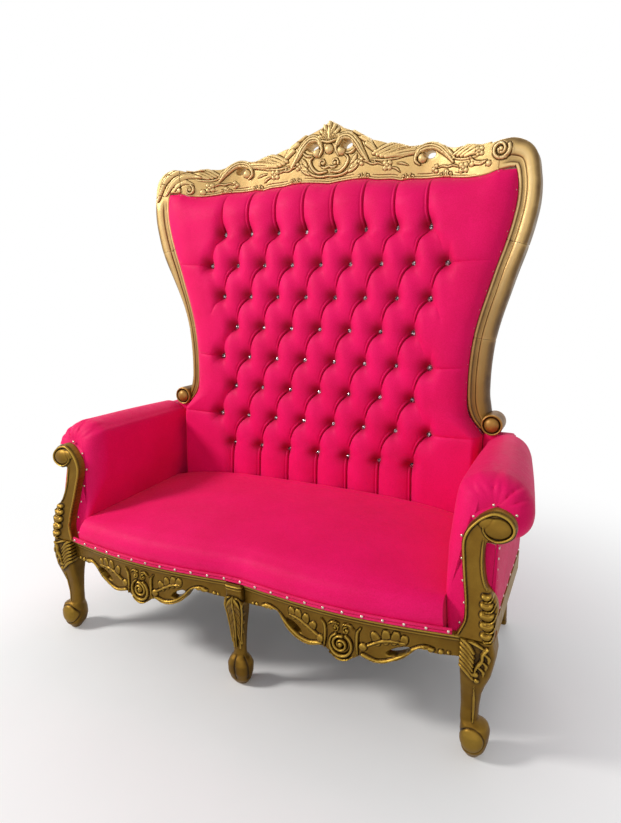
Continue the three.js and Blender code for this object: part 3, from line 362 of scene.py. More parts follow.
def stroke_field(x, z, path, radii):
    """1 on a stroke's middle line, 0 at its edge, less outside it, and FAR_OUT away from it."""
    best = np.full(np.shape(x), FAR_OUT)
    low, high = path.min(0) - max(radii), path.max(0) + max(radii)
    near = (x > low[0]) & (x < high[0]) & (z > low[1]) & (z < high[1])
    if near.any():
        px, pz = x[near], z[near]
        found = np.full(px.shape, FAR_OUT)
        for k in range(len(path) - 1):
            t, d2 = segment(px, pz, path[k], path[k + 1])
            found = np.maximum(found, 1 - d2 / np.maximum(lerp(radii[k], radii[k + 1], t), 0.3) ** 2)
        best[near] = found
    return best


class Carving:
    """Marks in low relief over a plane of x and z; while both is set, each one is made at minus x too."""

    def __init__(self, cut=1.7, both=False):
        self.marks, self.cut, self.both = [], cut, both

    def mark(self, path, radii, rise):
        for sign in (1, -1) if self.both else (1,):
            self.marks.append((path * (sign, 1), radii, rise))

    def stroke(self, points, width, rise, ends=(0.35, 0.35), samples=26):
        """A rounded moulding along a curve, tapered to shares of its width at its ends."""
        share = np.linspace(0, 1, samples)
        first, last = (lerp(end, 1, clamp(s / 0.35)) for end, s in zip(ends, (share, 1 - share)))
        self.mark(spline(points, samples), width / 2 * np.minimum(first, last), rise)

    def groove(self, points, width, depth, samples=30):
        self.stroke(points, width, -depth, (0.3, 0.3), samples)

    def scroll(self, points, width, rise, lines=(0.0,), ends=(0.3, 0.6)):
        """A broad band along a curve, with lines cut along it at shares of its half width."""
        path = spline(points, 40)
        run = unit(np.gradient(path, axis=0))
        side = np.stack([-run[:, 1], run[:, 0]], -1)
        self.stroke(path, width, rise, ends, 40)
        for share in lines:
            self.groove((path + side * share * width / 2)[4:-3], 3.6, rise * 0.32, 40)

    def fronds(self, spine, tips, count, width, rise):
        """Broad pointed lobes of a leaf, from along one curve to a little further along another."""
        low, high = spline(spine, 100), spline(tips, 100)
        for k in range(count):
            at, a_little_on, further_on, far_on = (min(int(99 * (k + on) / count), 99) for on in (0, 0.25, 0.7, 0.9))
            a, b, c = low[at], high[far_on], (low[further_on] + high[a_little_on]) / 2
            self.stroke([a, c, b], width, rise, (0.5, 0.4), 16)
            self.groove([lerp(a, c, 0.5), lerp(a, c, 0.95), lerp(c, b, 0.7)], width * 0.16, rise * 0.3, 12)

    def bead(self, x, z, radius, rise):
        self.mark(np.array([(x, z), (x + 0.01, z)]), np.array([radius, radius]), rise)

    def volute(self, x, z, radius, width, rise, start, turns=1.2):
        """A spiral that winds in to its eye."""
        t = np.linspace(0, 1, 30)
        angle = start + 2 * math.pi * turns * t
        r = radius * (1 - 0.8 * t)
        self.mark(np.stack([x + r * np.cos(angle), z + r * np.sin(angle)], -1), width * lerp(1 / 2, 1 / 3, t), rise)
        self.bead(x, z, radius * 0.3, rise * 1.1)

    def flower(self, x, z, radius, rise):
        for k in range(4):
            angle = math.pi / 4 + k * math.pi / 2
            self.bead(x + radius * 0.62 * math.cos(angle), z + radius * 0.62 * math.sin(angle),
                      radius * 0.48, rise * 0.75)
        self.bead(x, z, radius * 0.34, rise)

    def height(self, x, z):
        """Marks in their order, each with a fine cut round it; a mark with a negative rise is a groove."""
        total = np.zeros(np.shape(x))
        for path, radii, rise in self.marks:
            field = stroke_field(x, z, path, radii)
            top = rise * np.sqrt(np.maximum(field, 0))
            if rise < 0:
                total = total + top
                continue
            beside = (field > FAR_OUT + 1) & (field < 0)
            cut = np.where(beside, bell((cap(field) - 1) * radii.mean(), self.cut), 0)
            total = np.where(field > 0, np.maximum(total, top), total - min(self.cut, rise * 0.35) * cut)
        return total

    def inside(self, x, z, grow):
        """Rough distance inside any of the marks, grown a little, for an outline that they make."""
        best = np.full(np.shape(x), -99.0)
        for path, radii, _ in self.marks:
            field = stroke_field(x, z, path, radii + grow)
            best = np.maximum(best, np.where(field > FAR_OUT + 1, (radii.mean() + grow) * (1 - cap(field)), -99))
        return best


def polygon_distance(x, z, outline):
    """Signed distance to a closed outline, positive inside."""
    best = np.full(np.shape(x), 1e9)
    inside = np.zeros(np.shape(x), bool)
    for (ax, az), (bx, bz) in zip(outline, np.roll(outline, -1, 0)):
        best = np.minimum(best, segment(x, z, (ax, az), (bx, bz))[1])
        if bz != az:
            inside ^= ((az > z) != (bz > z)) & (x < (bx - ax) * (z - az) / (bz - az) + ax)
    return np.where(inside, 1, -1) * np.sqrt(best)


def ellipse_distance(x, z, cx, cz, width, height, tilt):
    c, s = math.cos(tilt), math.sin(tilt)
    u, v = (x - cx) * c + (z - cz) * s, -(x - cx) * s + (z - cz) * c
    q = np.sqrt((u / (width / 2)) ** 2 + (v / (height / 2)) ** 2)
    return (1 - q) * min(width, height) / 2


def carved_plate(limits, step, inside, height, front, depth, edge=5.0, edge_drop=4.0):
    """Points, faces and shade-and-wear marks of a plate cut to an outline, with carving on its front and a plain back;
    the marks darken its recesses, partly as painted shade.
    """
    x0, x1, z0, z1 = limits
    columns, rows = int((x1 - x0) / step) + 1, int((z1 - z0) / step) + 1
    x, z = np.meshgrid(np.linspace(x0, x1, columns), np.linspace(z0, z1, rows))
    field = inside(x, z)
    keep = field[:-1, :-1] + field[1:, :-1] + field[:-1, 1:] + field[1:, 1:] > 0
    used = np.zeros(field.shape, int)
    for di, dj in ((0, 0), (1, 0), (0, 1), (1, 1)):
        used[di:rows - 1 + di, dj:columns - 1 + dj] += keep
    # Points at the border of the kept squares move onto the outline
    at_edge = (used > 0) & (used < 4)
    dz, dx = np.gradient(field, z[1, 0] - z[0, 0], x[0, 1] - x[0, 0])
    move = clamp(field / np.maximum(dx**2 + dz**2, 0.25), -step, step) * at_edge
    x, z = x - move * dx, z - move * dz
    h = height(x, z)
    # Marks for the colour: dark in the recesses, partly as painted shade, and bright on what stands out
    shade_and_wear = standing_out(h, max(2, int(5 / step)))
    h = h - edge_drop * (1 - round_off(np.where(at_edge, 0, field) / edge))
    base = front(x, z)
    number = -np.ones(field.shape, int)
    chosen = used > 0
    total = chosen.sum()
    number[chosen] = np.arange(total)
    face, back = (np.stack([x, y, z], -1)[chosen] for y in (base - h, base + depth))
    j, i = np.nonzero(keep)
    quads = np.stack([number[j, i], number[j, i + 1], number[j + 1, i + 1], number[j + 1, i]], -1)
    # Sides that only one square has are the border, and get walls
    sides = quads[:, [[0, 1], [1, 2], [2, 3], [3, 0]]].reshape(-1, 2)
    _, index, count = np.unique(np.sort(sides, 1), axis=0, return_index=True, return_counts=True)
    a, b = sides[index[count == 1]].T
    walls = np.stack([b, a, a + total, b + total], -1)
    return np.vstack([face, back]), np.vstack([quads, quads[:, ::-1] + total, walls]), shade_and_wear[chosen]


# Curves of the frame, as in the part's source


def rail_face(x):
    s = clamp((abs(x) - CENTRE_LEG_WIDTH / 2) / (CORNER_X - CENTRE_LEG_WIDTH / 2))
    return -(lerp(CENTRE_FACE, CORNER_FACE, s) + RAIL_BOW * np.sin(math.pi * s))


STILE_SHARES = [[0.3, -0.197], [0.14, -0.15], [0.03, -0.078], [0, 0.024], [0.025, 0.163], [0.1, 0.285],
                [0.235, 0.4], [0.4, 0.512], [0.57, 0.626], [0.756, 0.74], [0.908, 0.854], [1, 0.967],
                [0.975, 1.08], [0.84, 1.163], [0.56, 1.187], [0.227, 1.182]]
STILE_POINTS = np.array([(WAIST_HALF + STILE_WIDTH / 2 + (SHOULDER_HALF - WAIST_HALF) * out,
                          WAIST + (SHOULDER - WAIST) * up) for out, up in STILE_SHARES])


def stile_point(place):
    """Centripetal curve through the stile's points."""
    p = STILE_POINTS
    last = len(p) - 1
    i = min(int(place * last), last - 1)
    w = place * last - i
    b, c = p[i], p[i + 1]
    a = p[i - 1] if i > 0 else 2 * p[0] - p[1]
    d = p[i + 2] if i + 2 <= last else 2 * p[last] - p[last - 1]
    d0, d1, d2 = (max(np.hypot(*(q - r)) ** 0.5, 1e-4) for q, r in ((b, a), (c, b), (d, c)))
    m1 = ((b - a) / d0 - (c - a) / (d0 + d1) + (c - b) / d1) * d1
    m2 = ((c - b) / d1 - (d - b) / (d1 + d2) + (d - c) / d2) * d1
    return b + m1 * w + (3 * (c - b) - 2 * m1 - m2) * w**2 + (2 * (b - c) + m1 + m2) * w**3


def stile_width(place):
    wide = lerp(STILE_WIDTH, CREST_END, smooth((place - 0.8) / 0.15))
    return lerp(STILE_WIDTH * 0.72, wide, smooth(place / 0.12))


def stile_place(place, across):
    """A spot on the stile: its place along, and the share across from the inner to the outer edge."""
    step = 1e-4
    run = stile_point(min(place + step, 1)) - stile_point(max(place - step, 0))
    run = run / np.hypot(*run)
    offset = (across - 0.5) * stile_width(place)
    x, z = stile_point(place)
    return np.array([x + run[1] * offset, z - run[0] * offset])


def back_edge():
    """Heights and half widths of the padding's space, by the first crossing of the stile's inner edge."""
    rows = [(0, LOWER_HALF), (LOWER_BACK, LOWER_HALF)]
    for k in range(61):
        x, z = stile_place(lerp(0.08, 0.9, k / 60), 0)
        rows.append((z, x - 10 * (1 - smooth((z - LOWER_BACK) / (WAIST - LOWER_BACK)))))
    heights, widths = np.array(rows).T
    order = np.maximum.accumulate(heights)
    keep = np.concatenate([[True], order[1:] > order[:-1]])
    return heights[keep], widths[keep]


BACK_EDGE = back_edge()


def half_width(z):
    return np.interp(z, *BACK_EDGE) - SOFT_SEAM


LOWER = [0.04, 0.08, 0.11, 0.14, 0.14, 0.12, 0.06, 0.04, 0.02, -0.05, -0.02, -0.04, -0.06, -0.06, -0.08, -0.13,
         -0.18, -0.21, -0.2, -0.15, -0.05]
UPPER = [1, 0.915, 0.857, 0.806, 0.727, 0.653, 0.62, 0.574, 0.537, 0.5, 0.458, 0.463, 0.519, 0.5, 0.421, 0.38,
         0.384, 0.361, 0.338, 0.352, 0.38]


def crest_curve(values, x):
    """Cubic curve through values that stand at even steps from the crest's middle to its end."""
    v = np.asarray(values, float)
    at = clamp(np.abs(np.asarray(x, float)) / CREST_HALF) * (len(v) - 1)
    i = np.minimum(at.astype(int), len(v) - 2)
    w = at - i
    a, b, c, d = v[np.maximum(i - 1, 0)], v[i], v[i + 1], v[np.minimum(i + 2, len(v) - 1)]
    m1, m2 = (c - a) / 2, (d - b) / 2
    return (2 * b - 2 * c + m1 + m2) * w**3 + (3 * c - 3 * b - 2 * m1 - m2) * w**2 + m1 * w + b


def crest_lower(x):
    return FABRIC_TOP + CREST_END * crest_curve(LOWER, x)


def crest_upper(x):
    return FABRIC_TOP + (CREST_PEAK - FABRIC_TOP) * crest_curve(UPPER, x)


def frame_face(x, z):
    """Depth of the frame's face: hollow towards the middle, more so with the height."""
    share = np.abs(x) / (half_width(np.minimum(z, SHOULDER)) + SOFT_SEAM)
    growth = clamp((z - HOLLOW_FOOT) / (FABRIC_TOP - HOLLOW_FOOT))
    return STILE_FACE + HOLLOW * growth * (1 - smooth((share - 0.5) / 0.47))


# Buttoned back

LAST_ROW = len(BUTTON_COUNTS) - 1
PLEATED_ROWS = (1, 4, 6)
PAD_COLUMNS, PAD_ROWS = 621, 561
# The padding falls away to its border over PAD_FADE, but over PAD_FADE_LOW beside the arms
PAD_FADE, PAD_FADE_LOW, PAD_BEHIND = 95, 26, 21
ARM_REACH_FROM, ARM_REACH = 700, 140
# SHADE_REACH: how far the painted shade beside each button reaches
PIT_DEPTH, PIT_REACH, PIT_POWER, SHADE_REACH = 17, 25, 1.35, 22
FOLD_VALLEY, SOFT_VALLEY, FOLD_BOW, TOP_BOW = 13, 8, 0.14, 0.08
RIPPLE = 0.8
# Height, place and width of the waves that make up a sharp fold, across it
FOLD_WAVES = ((6, 0.6, 2.1), (-2.6, -4, 2.6), (2.2, -8.6, 2))


def pitch(z):
    return lerp(PITCH_TOP, PITCH_BOTTOM, clamp((BUTTON_TOP - z) / (BUTTON_DROP * LAST_ROW), -0.3, 1.3))


def button_places():
    for row, count in enumerate(BUTTON_COUNTS):
        z = BUTTON_TOP - row * BUTTON_DROP
        for k in range(count):
            yield row, (k - (count - 1) / 2) * pitch(z), z


def button_plane(x, z):
    bottom = BUTTON_TOP - LAST_ROW * BUTTON_DROP
    return PLANE + PLANE_LEAN * (z - bottom) / (BUTTON_TOP - bottom) - PLANE_HOLLOW * (x / LOWER_HALF) ** 2


def tuft(x, z):
    """Depth of the valleys between buttons, and the distance and the strength of the nearest sharp fold.

    Folds run from each button to the one at its lower left, bowed to the left; the other diagonals are soft valleys.
    """
    true_row = (BUTTON_TOP - z) / BUTTON_DROP
    row = clamp(true_row, 0, LAST_ROW)
    column = x / (pitch(z) / 2)
    v = (column - row - 1) / 2
    t = np.ceil(v) - v
    inside = smooth(true_row / 0.35) * smooth((LAST_ROW - true_row) / 0.35)
    above = TOP_BOW * smooth(-true_row / 0.5) * (true_row < 0)
    u = (column + row - 1) / 2 + lerp(above, FOLD_BOW * np.sin(math.pi * t**0.95), inside)
    across = (u - np.round(u)) * pitch(z) * 0.9
    across_rise = np.abs(np.sin(math.pi * u)) ** 0.7
    along_rise = lerp(across_rise, np.sin(math.pi * v) ** 2, inside)
    depth = FOLD_VALLEY * (1 - across_rise) + SOFT_VALLEY * (1 - along_rise)
    depth = depth * lerp(1, 0.6, smooth(-true_row * BUTTON_DROP / 120))
    reach = np.interp(row, range(LAST_ROW + 1), [c - 1 for c in BUTTON_COUNTS])
    open_side = 1 - smooth((np.abs(column) - reach) / 1.1)
    pleat = smooth((np.abs(true_row - LAST_ROW / 2) - LAST_ROW / 2) / 0.12)
    sharp = np.maximum(inside * smooth((t - 0.06) / 0.16) * smooth((0.84 - t) / 0.2), pleat)
    return depth * open_side, across, sharp * clamp((reach + 0.25 - np.abs(column)) / 0.2)


def crease(x, z, path, depth, width):
    """A pleat: sharp in the middle, fading towards its far end."""
    out = np.zeros(np.shape(x))
    for k in range(len(path) - 1):
        t, d2 = segment(x, z, path[k], path[k + 1])
        out = np.maximum(out, depth * (1 - 0.65 * (k + t) / (len(path) - 1)) * np.exp(-np.sqrt(d2) / width))
    return out


def back_pad():
    u, v = np.meshgrid(np.linspace(-1, 1, PAD_COLUMNS), np.linspace(0, 1, PAD_ROWS))
    top = crest_lower(u * half_width(lerp(PAD_BOTTOM, FABRIC_TOP, v))) - CREST_SEAM
    z = lerp(PAD_BOTTOM, top, v)
    x = u * half_width(np.minimum(z, FABRIC_TOP))
    above_arm = smooth((z - ARM_REACH_FROM) / ARM_REACH)
    side = (half_width(z) - np.abs(x) - 2) / lerp(PAD_FADE_LOW, PAD_FADE, above_arm)
    swell = round_off(side) * round_off((top - z - 2) / PAD_FADE)
    depth, across, sharp = tuft(x, z)
    fold = sum(height * bell(across - at, width) for height, at, width in FOLD_WAVES)
    y = lerp(frame_face(x, z), button_plane(x, z) - BUTTON_DEPTH + depth + fold * sharp, swell)
    # shade: painted shade beside each button, to its upper left
    shade = 0 * x
    for _, bx, bz in button_places():
        shade = np.maximum(shade, bell(np.hypot(x - bx + 10, (z - bz - 7) / 1.2), SHADE_REACH))
        near = np.hypot(np.where(x < bx, x - bx, (x - bx) * 1.5), np.where(z > bz, z - bz, (z - bz) * 1.4))
        y = y + PIT_DEPTH * np.exp(-((near / PIT_REACH) ** PIT_POWER))
    # Pleats from the end buttons: straight to the side, or slanting down
    for row, bx, bz in button_places():
        at_end = abs(abs(bx) - (BUTTON_COUNTS[row] - 1) / 2 * pitch(bz)) < 1
        if not at_end or row == LAST_ROW:
            continue
        out = math.copysign(1, bx)
        if row in PLEATED_ROWS:
            bends, pleats = [(bx + out * 45, bz + 3), (out * (float(half_width(bz)) - 10), bz + 8)], ((8, 12), (4, 2.6))
        else:
            bends, pleats = [(bx + out * 30, bz - 30), (bx + out * 44, bz - 62)], ((6, 9), (2.5, 2.6))
        y = y + sum(crease(x, z, [(bx, bz), *bends], *pleat) for pleat in pleats) * clamp(swell * 2)
    y = y + RIPPLE * np.sin(x / 31 + 2.2 * np.sin(z / 87)) * np.sin(z / 41 + 1.7 * np.sin(x / 73)) * swell
    points = np.stack([x, y, z], -1).reshape(-1, 3)
    ring = border_ring(*u.shape)
    behind = points[ring]
    behind[:, 1] = frame_face(behind[:, 0], behind[:, 2]) + PAD_BEHIND
    total, count = len(points), len(ring)
    points = np.vstack([points, behind, [0, float(frame_face(0, 960.0)) + PAD_BEHIND, 960]])
    faces = sheet_faces(*u.shape).tolist()
    for k in range(count):
        n = (k + 1) % count
        faces += [[ring[k], total + k, total + n, ring[n]], [total + k, total + count, total + n]]
    # Marks of painted shade for the leather: beside the buttons and along the sharp folds
    deep = clamp(-shade - 0.55 * sharp * bell(across, 2.2), -1, 0)
    make("buttoned_back", points, faces, PINK, "pink_leather", ["back_pad"], deep, 75)


def domes(name, spots, radius, rise, material, slot, profile, sides=12, normal=(0, -1, 0), sharp=60):
    """Many small round heads in one mesh, all with one normal, which is mirrored with the side a head is on."""
    points, faces = [], []
    for spot in spots:
        out = Vector((normal[0] * np.sign(spot[0]), normal[1], normal[2])).normalized()
        turn = np.array(out.to_track_quat("Z", "Y").to_matrix())
        start = len(points)
        for r, h in profile:
            for angle in 2 * math.pi * np.arange(sides) / sides:
                local = (radius * r * math.cos(angle), radius * r * math.sin(angle), rise * h)
                points.append(np.asarray(spot) + turn @ local)
        faces += (sheet_faces(len(profile), sides, True) + start).tolist()
        faces += [[ring + a for a in range(sides)] for ring in (start, len(points) - sides)]
    make(name, points, faces, material, slot, sharp=sharp)


ROUND_HEAD = [(1, -0.6), (1, 0.0), (0.93, 0.42), (0.72, 0.74), (0.4, 0.94), (0.1, 1)]
FACETED = [(0.9, -0.5), (1, 0.1), (0.96, 0.3), (0.66, 0.78), (0.34, 1.0), (0.3, 1.02)]
RIM = [(1, -1), (1, 0), (0.95, 0.6), (0.84, 0.8)]
BUTTON_RADIUS, BUTTON_RISE, RIM_RADIUS, RIM_RISE = 10, 7.5, 11.4, 3


def nails(name, spots, normal, radius, rise=3.4):
    domes(name, spots, radius, rise, NAIL, "nail_metal", ROUND_HEAD, normal=normal)


def crystals():
    spots = [(x, float(button_plane(x, z)) + 0.5, z) for _, x, z in button_places()]
    behind = [(x, y + 1.5, z) for x, y, z in spots]
    domes("crystal_buttons", spots, BUTTON_RADIUS, BUTTON_RISE, CRYSTAL, "crystal", FACETED, 8, sharp=5)
    domes("button_rims", behind, RIM_RADIUS, RIM_RISE, NAIL, "nail_metal", RIM, 20)


back_pad()
crystals()

# Crest rail

CREST_HOLES = [(66, 1704, 44, 30, 0.0), (364.8, 1645.4, 42, 27, 0.2)]
CREST_CUT, LEAF_OVER, CREST_STEP, CREST_LIMITS = 2.5, 5, 1.7, (-603, 603, 1545, 1791)
# Where the corners' carving begins, and where it has taken over from the crest's
CORNER_FROM, CORNER_FULL, CORNER_FADE = 500, 545, 30
PEAK_LEAN, PEAK_FROM, PEAK_REACH = 10, 1690, 110


def corner_carving(side):
    """What covers the joint of the crest with a stile: a leaf on the left, a spiral on the right."""
    c = Carving(CREST_CUT)
    if side == "left":
        for points, width, rise in (([(548, 1602), (584, 1612), (612, 1600), (626, 1582)], 20, 4.5),
                                    ([(516, 1626), (578, 1634), (630, 1612), (668, 1566)], 27, 6),
                                    ([(504, 1652), (590, 1655), (664, 1624), (708, 1546)], 28, 8)):
            c.scroll(points, width, rise, (0.25,), (0.3, 0.3))
        for x, z in ((662, 1640), (690, 1606), (708, 1566)):
            c.groove([(x - 30, z - 4), (x - 10, z + 2), (x + 8, z - 8)], 5, 3.4, 14)
        c.volute(563, 1582, 18, 8, 8, 1.9, 1.3)
        c.bead(606, 1582, 9, 6)
        c.bead(512, 1572, 11, 7)
    else:
        c.volute(602, 1626, 29, 11, 9, 0.4, -1.6)
        c.flower(536, 1630, 15, 7)
        c.scroll([(560, 1600), (540, 1594), (518, 1600), (506, 1616)], 13, 6, (0.0,), (0.3, 0.5))
        c.bead(566, 1590, 9, 6)
        c.bead(512, 1594, 8, 6)
    return c


def crest_carving():
    c = Carving(CREST_CUT)
    # Palmette and its collar
    for k in (-3, 3, -2, 2, -1, 1, 0):
        reach = (CREST_PEAK - 1717) * lerp(0.98, 0.62, abs(k) / 3)
        x, z = reach * math.sin(k * 0.34), 1715 + reach * math.cos(k * 0.34)
        c.stroke([(3 * k, 1718), (x * 0.5, lerp(1718, z, 0.55)), (x, z)], 16, 9, (0.4, 0.8), 12)
        c.stroke([(3 * k, 1724), (x * 0.8, lerp(1718, z, 0.8))], 3, 10.5, (0.5, 0.3), 8)
    c.stroke([(-27, 1722), (0, 1716), (27, 1722)], 9, 11, (0.8, 0.8), 12)
    c.both = True
    # Inner scrolls: reeded stems that rise over their holes to a ball
    for points in ([(96, 1744), (126, 1730), (152, 1710)], [(124, 1720), (148, 1706), (170, 1686)],
                   [(142, 1698), (162, 1684), (184, 1664)]):
        c.stroke(points, 17, 7, (0.9, 0.35), 14)
    c.scroll([(148, 1640), (126, 1672), (104, 1706), (76, 1731), (46, 1730), (31, 1706)], 28, 10, (-0.35, 0.3),
             (0.35, 0.55))
    c.bead(47, 1683, 16, 14)
    c.stroke([(30, 1706), (27, 1690), (38, 1668)], 9, 10, (0.9, 0.5))
    c.stroke([(104, 1690), (86, 1676), (66, 1674)], 9, 8, (0.3, 0.6))
    # The ball in the middle, below the palmette
    c.both = False
    c.bead(0, 1693, 17, 13)
    c.both = True
    # Leaf run between the scrolls
    c.stroke([(160, 1646), (205, 1640), (255, 1644), (300, 1650)], 8, 5, (0.6, 0.3))
    c.fronds([(168, 1664), (186, 1656), (206, 1651), (232, 1648)],
             [(250, 1702), (288, 1690), (326, 1676), (372, 1660)], 4, 25, 8)
    # Outer scrolls round their holes
    for points in ([(386, 1672), (412, 1660), (436, 1640)], [(408, 1658), (432, 1642), (454, 1620)]):
        c.stroke(points, 15, 6, (0.9, 0.35), 14)
    c.scroll([(448, 1610), (424, 1638), (396, 1662), (364, 1672), (332, 1664), (318, 1644)], 24, 9, (-0.35, 0.3),
             (0.3, 0.55))
    c.bead(340, 1634, 15.5, 13)
    c.stroke([(317, 1646), (316, 1628), (332, 1614)], 9, 9, (0.9, 0.5))
    # Leaf run outside them
    c.stroke([(444, 1622), (480, 1614), (520, 1616), (548, 1622)], 7, 4.5, (0.6, 0.3))
    c.fronds([(450, 1632), (466, 1626), (484, 1622), (502, 1620)],
             [(512, 1664), (538, 1660), (564, 1654), (592, 1644)], 4, 19, 6.5)
    # Flowers, berries and sprigs
    for x, z in ((218, 1622), (484, 1588)):
        c.flower(x, z, 18, 7.5)
    c.stroke([(200, 1626), (184, 1632), (164, 1631), (146, 1638), (130, 1644)], 6, 5.5, (0.7, 0.6))
    for x, z in ((124, 1650), (115, 1642), (124, 1635)):
        c.bead(x, z, 7, 6.5)
    c.stroke([(236, 1614), (252, 1608), (264, 1596)], 6, 5, (0.7, 0.3))
    c.stroke([(176, 1632), (170, 1643)], 5, 4.5)
    c.stroke([(252, 1626), (272, 1624), (292, 1616)], 6, 4.5, (0.5, 0.4))
    c.stroke([(466, 1594), (448, 1600), (430, 1598), (412, 1602), (396, 1598)], 6, 5.5, (0.7, 0.6))
    for x, z in ((390, 1604), (381, 1596), (390, 1589)):
        c.bead(x, z, 7, 6.5)
    c.bead(425, 1583, 8, 6)
    # Curls and beads on the scalloped lower edge
    for x in (132, 292, 424):
        z = float(crest_lower(x)) + 11
        for turn in (-1, 1):
            c.volute(x + turn * 15, z, 10, 5, 6, math.pi / 2 + turn * 0.7, turn)
        c.bead(x, z - 3, 4.5, 6)
    c.stroke([(x, float(crest_lower(x)) + 4.5) for x in np.linspace(0, 596, 60)], 6, 3.4, (1, 1), 120)
    for low, high in ((96, 0), (258, 166), (392, 324), (520, 456)):
        c.stroke([(x, float(crest_lower(x)) + 17) for x in np.linspace(low, high, 8)], 3.4, -2.4, (0.5, 0.5), 30)
    # Cartouche under the ball, with a leaf at each side
    c.volute(24, 1648, 13, 7, 8, -0.6, 1.1)
    c.stroke([(8, 1618), (40, 1615), (64, 1632), (74, 1656), (62, 1670)], 10, 8.5, (0.7, 0.5))
    c.stroke([(0, 1604), (34, 1602), (68, 1612), (90, 1634)], 8, 7, (1, 0.3))
    c.stroke([(0, 1636), (16, 1631), (30, 1636)], 8, 7, (0.9, 0.5))
    c.fronds([(78, 1612), (86, 1632), (84, 1656)], [(106, 1622), (110, 1642), (104, 1668)], 3, 14, 6)
    return c


def crest():
    c = crest_carving()

    def height(x, z):
        h = c.height(x, z)
        for side, sign in SIDES:
            there = x * sign > CORNER_FROM
            out = x[there] * sign
            corner = corner_carving(side).height(out, z[there])
            h[there] = np.maximum(h[there], 0) * smooth((CORNER_FULL - out) / CORNER_FADE) + corner
        return h

    def inside(x, z):
        lower, upper, end = z - crest_lower(x), crest_upper(x) - z, CREST_HALF - SEAM - np.abs(x)
        # Leaf tips and scrolls stand over the plate's upper edge a little
        over = np.minimum.reduce([c.inside(x, z, 0.5), end, lower, upper + LEAF_OVER, CREST_PEAK - z])
        body = np.maximum(np.minimum.reduce([lower, upper, end]), over)
        for hx, hz, width, height, tilt in CREST_HOLES:
            for sign in (1, -1):
                body = np.minimum(body, -ellipse_distance(x, z, hx * sign, hz, width, height, -tilt * sign))
        return body

    def front(x, z):
        return frame_face(x, FABRIC_TOP + 0 * x) - 3 + PEAK_LEAN * smooth((z - PEAK_FROM) / PEAK_REACH)

    points, faces, shade_and_wear = carved_plate(CREST_LIMITS, CREST_STEP, inside, height, front, BACK_THICK - 12)
    make("carved_crest", points, faces, CREST_GOLD, "crest_gold", ["crest_rail"], shade_and_wear, 60)


crest()

# Stiles

# Painted shade and highlight across a stile, from its inner to its outer edge: dark in its grooves and on its outer
# side, bright on its beads and its round
STILE_PAINTED_TONE = [[0, -0.9], [0.03, 0.1], [0.085, 0.8], [0.14, 0.1], [0.17, -1], [0.21, -0.7], [0.3, -0.1], [0.35, 0.5],
              [0.4, -1], [0.46, 0.2], [0.58, 0.7], [0.68, 0.2], [0.8, -0.6], [0.9, -1], [1, -1]]
STILE_ACROSS = np.linspace(0, 1, 61)
# Height, middle and half width of the stile's inner bead, its fillet and its large round, in shares of the width
STILE_MOULDING = ((0.13, 0.085, 0.075), (0.05, 0.36, 0.035), (0.36, 0.69, 0.31))
# Where a stile turns flat and takes the corner's carving, over what run, and its edge's width and drop there
STILE_CORNER = {"right": 0.955, "left": 0.76}
CORNER_RUN, FLAT_EDGE, FLAT_DROP = 0.05, 5, 4
JOINT_GAP, END_DRAW = 0.0005, 0.02
# Rings of the foot scroll: share of its radius, depth, and a tone of painted shade and highlight, dark on the drum's
# side and in the groove, bright on the rim
STILE_SCROLL = [(1, BACK_THICK + 6, -1), (1, 8, -0.9), (0.99, 2, -0.2), (0.95, -2, 0.8), (0.89, -3.2, 0.9),
                (0.83, -2, 0.4), (0.79, 1.5, -0.8), (0.74, 3, -1), (0.68, 0, -0.6), (0.6, -5, 0.1), (0.45, -9, 0.4),
                (0.28, -11.5, 0.6), (0.1, -12.4, 0.6)]


def stile_section(across):
    """How far the moulding stands out, in shares of the stile's width."""
    parts = [height * cap(((across - middle) / half) ** 2) for height, middle, half in STILE_MOULDING]
    return np.maximum.reduce(parts) / 2 - 0.03


def stile_ring(place, corner, flat_from):
    """A section of a stile, its tones of painted shade and highlight and its carving; from a place on it turns flat and
    carved.
    """
    face = float(frame_face(*stile_place(place, 0)))
    middle = stile_place(place, 0.5)[1]
    turn = TURN * (1 - smooth((middle - TURN_LOW) / (TURN_HIGH - TURN_LOW)))
    spots = np.array([stile_place(place, a) for a in STILE_ACROSS])
    moulded = turn * STILE_ACROSS**2 - stile_section(STILE_ACROSS) * STILE_WIDTH
    painted_tone, h = table(STILE_PAINTED_TONE, STILE_ACROSS), 0 * STILE_ACROSS
    if place > flat_from - CORNER_RUN:
        flat = float(smooth((place - flat_from) / CORNER_RUN))
        h = corner.height(spots[:, 0], spots[:, 1])
        from_edge = np.minimum(STILE_ACROSS, 1 - STILE_ACROSS) * stile_width(place)
        drop = FLAT_DROP * (1 - round_off(from_edge / FLAT_EDGE))
        moulded = lerp(moulded, drop - 3, flat) - h
        painted_tone = painted_tone * (1 - flat)
    ring = [(x, face + m, z) for (x, z), m in zip(spots, moulded)]
    x, z = spots[-1]
    ring += [(x, lerp(ring[-1][1], face + BACK_THICK, share), z) for share in (0.25, 0.5, 0.75, 0.93, 1)]
    x, z = spots[0]
    ring.append((x, face + BACK_THICK, z))
    if place >= 1:
        ring = [(CREST_HALF + SEAM, y, z) for _, y, z in ring]
    # The outer side and the back are painted in full shade
    return np.array(ring), np.concatenate([painted_tone, np.full(6, -1.0)]), h


def stile_at(height):
    low, high = 0.0, 0.8
    for _ in range(40):
        middle = (low + high) / 2
        low, high = (middle, high) if stile_point(middle)[1] < height else (low, middle)
    return low


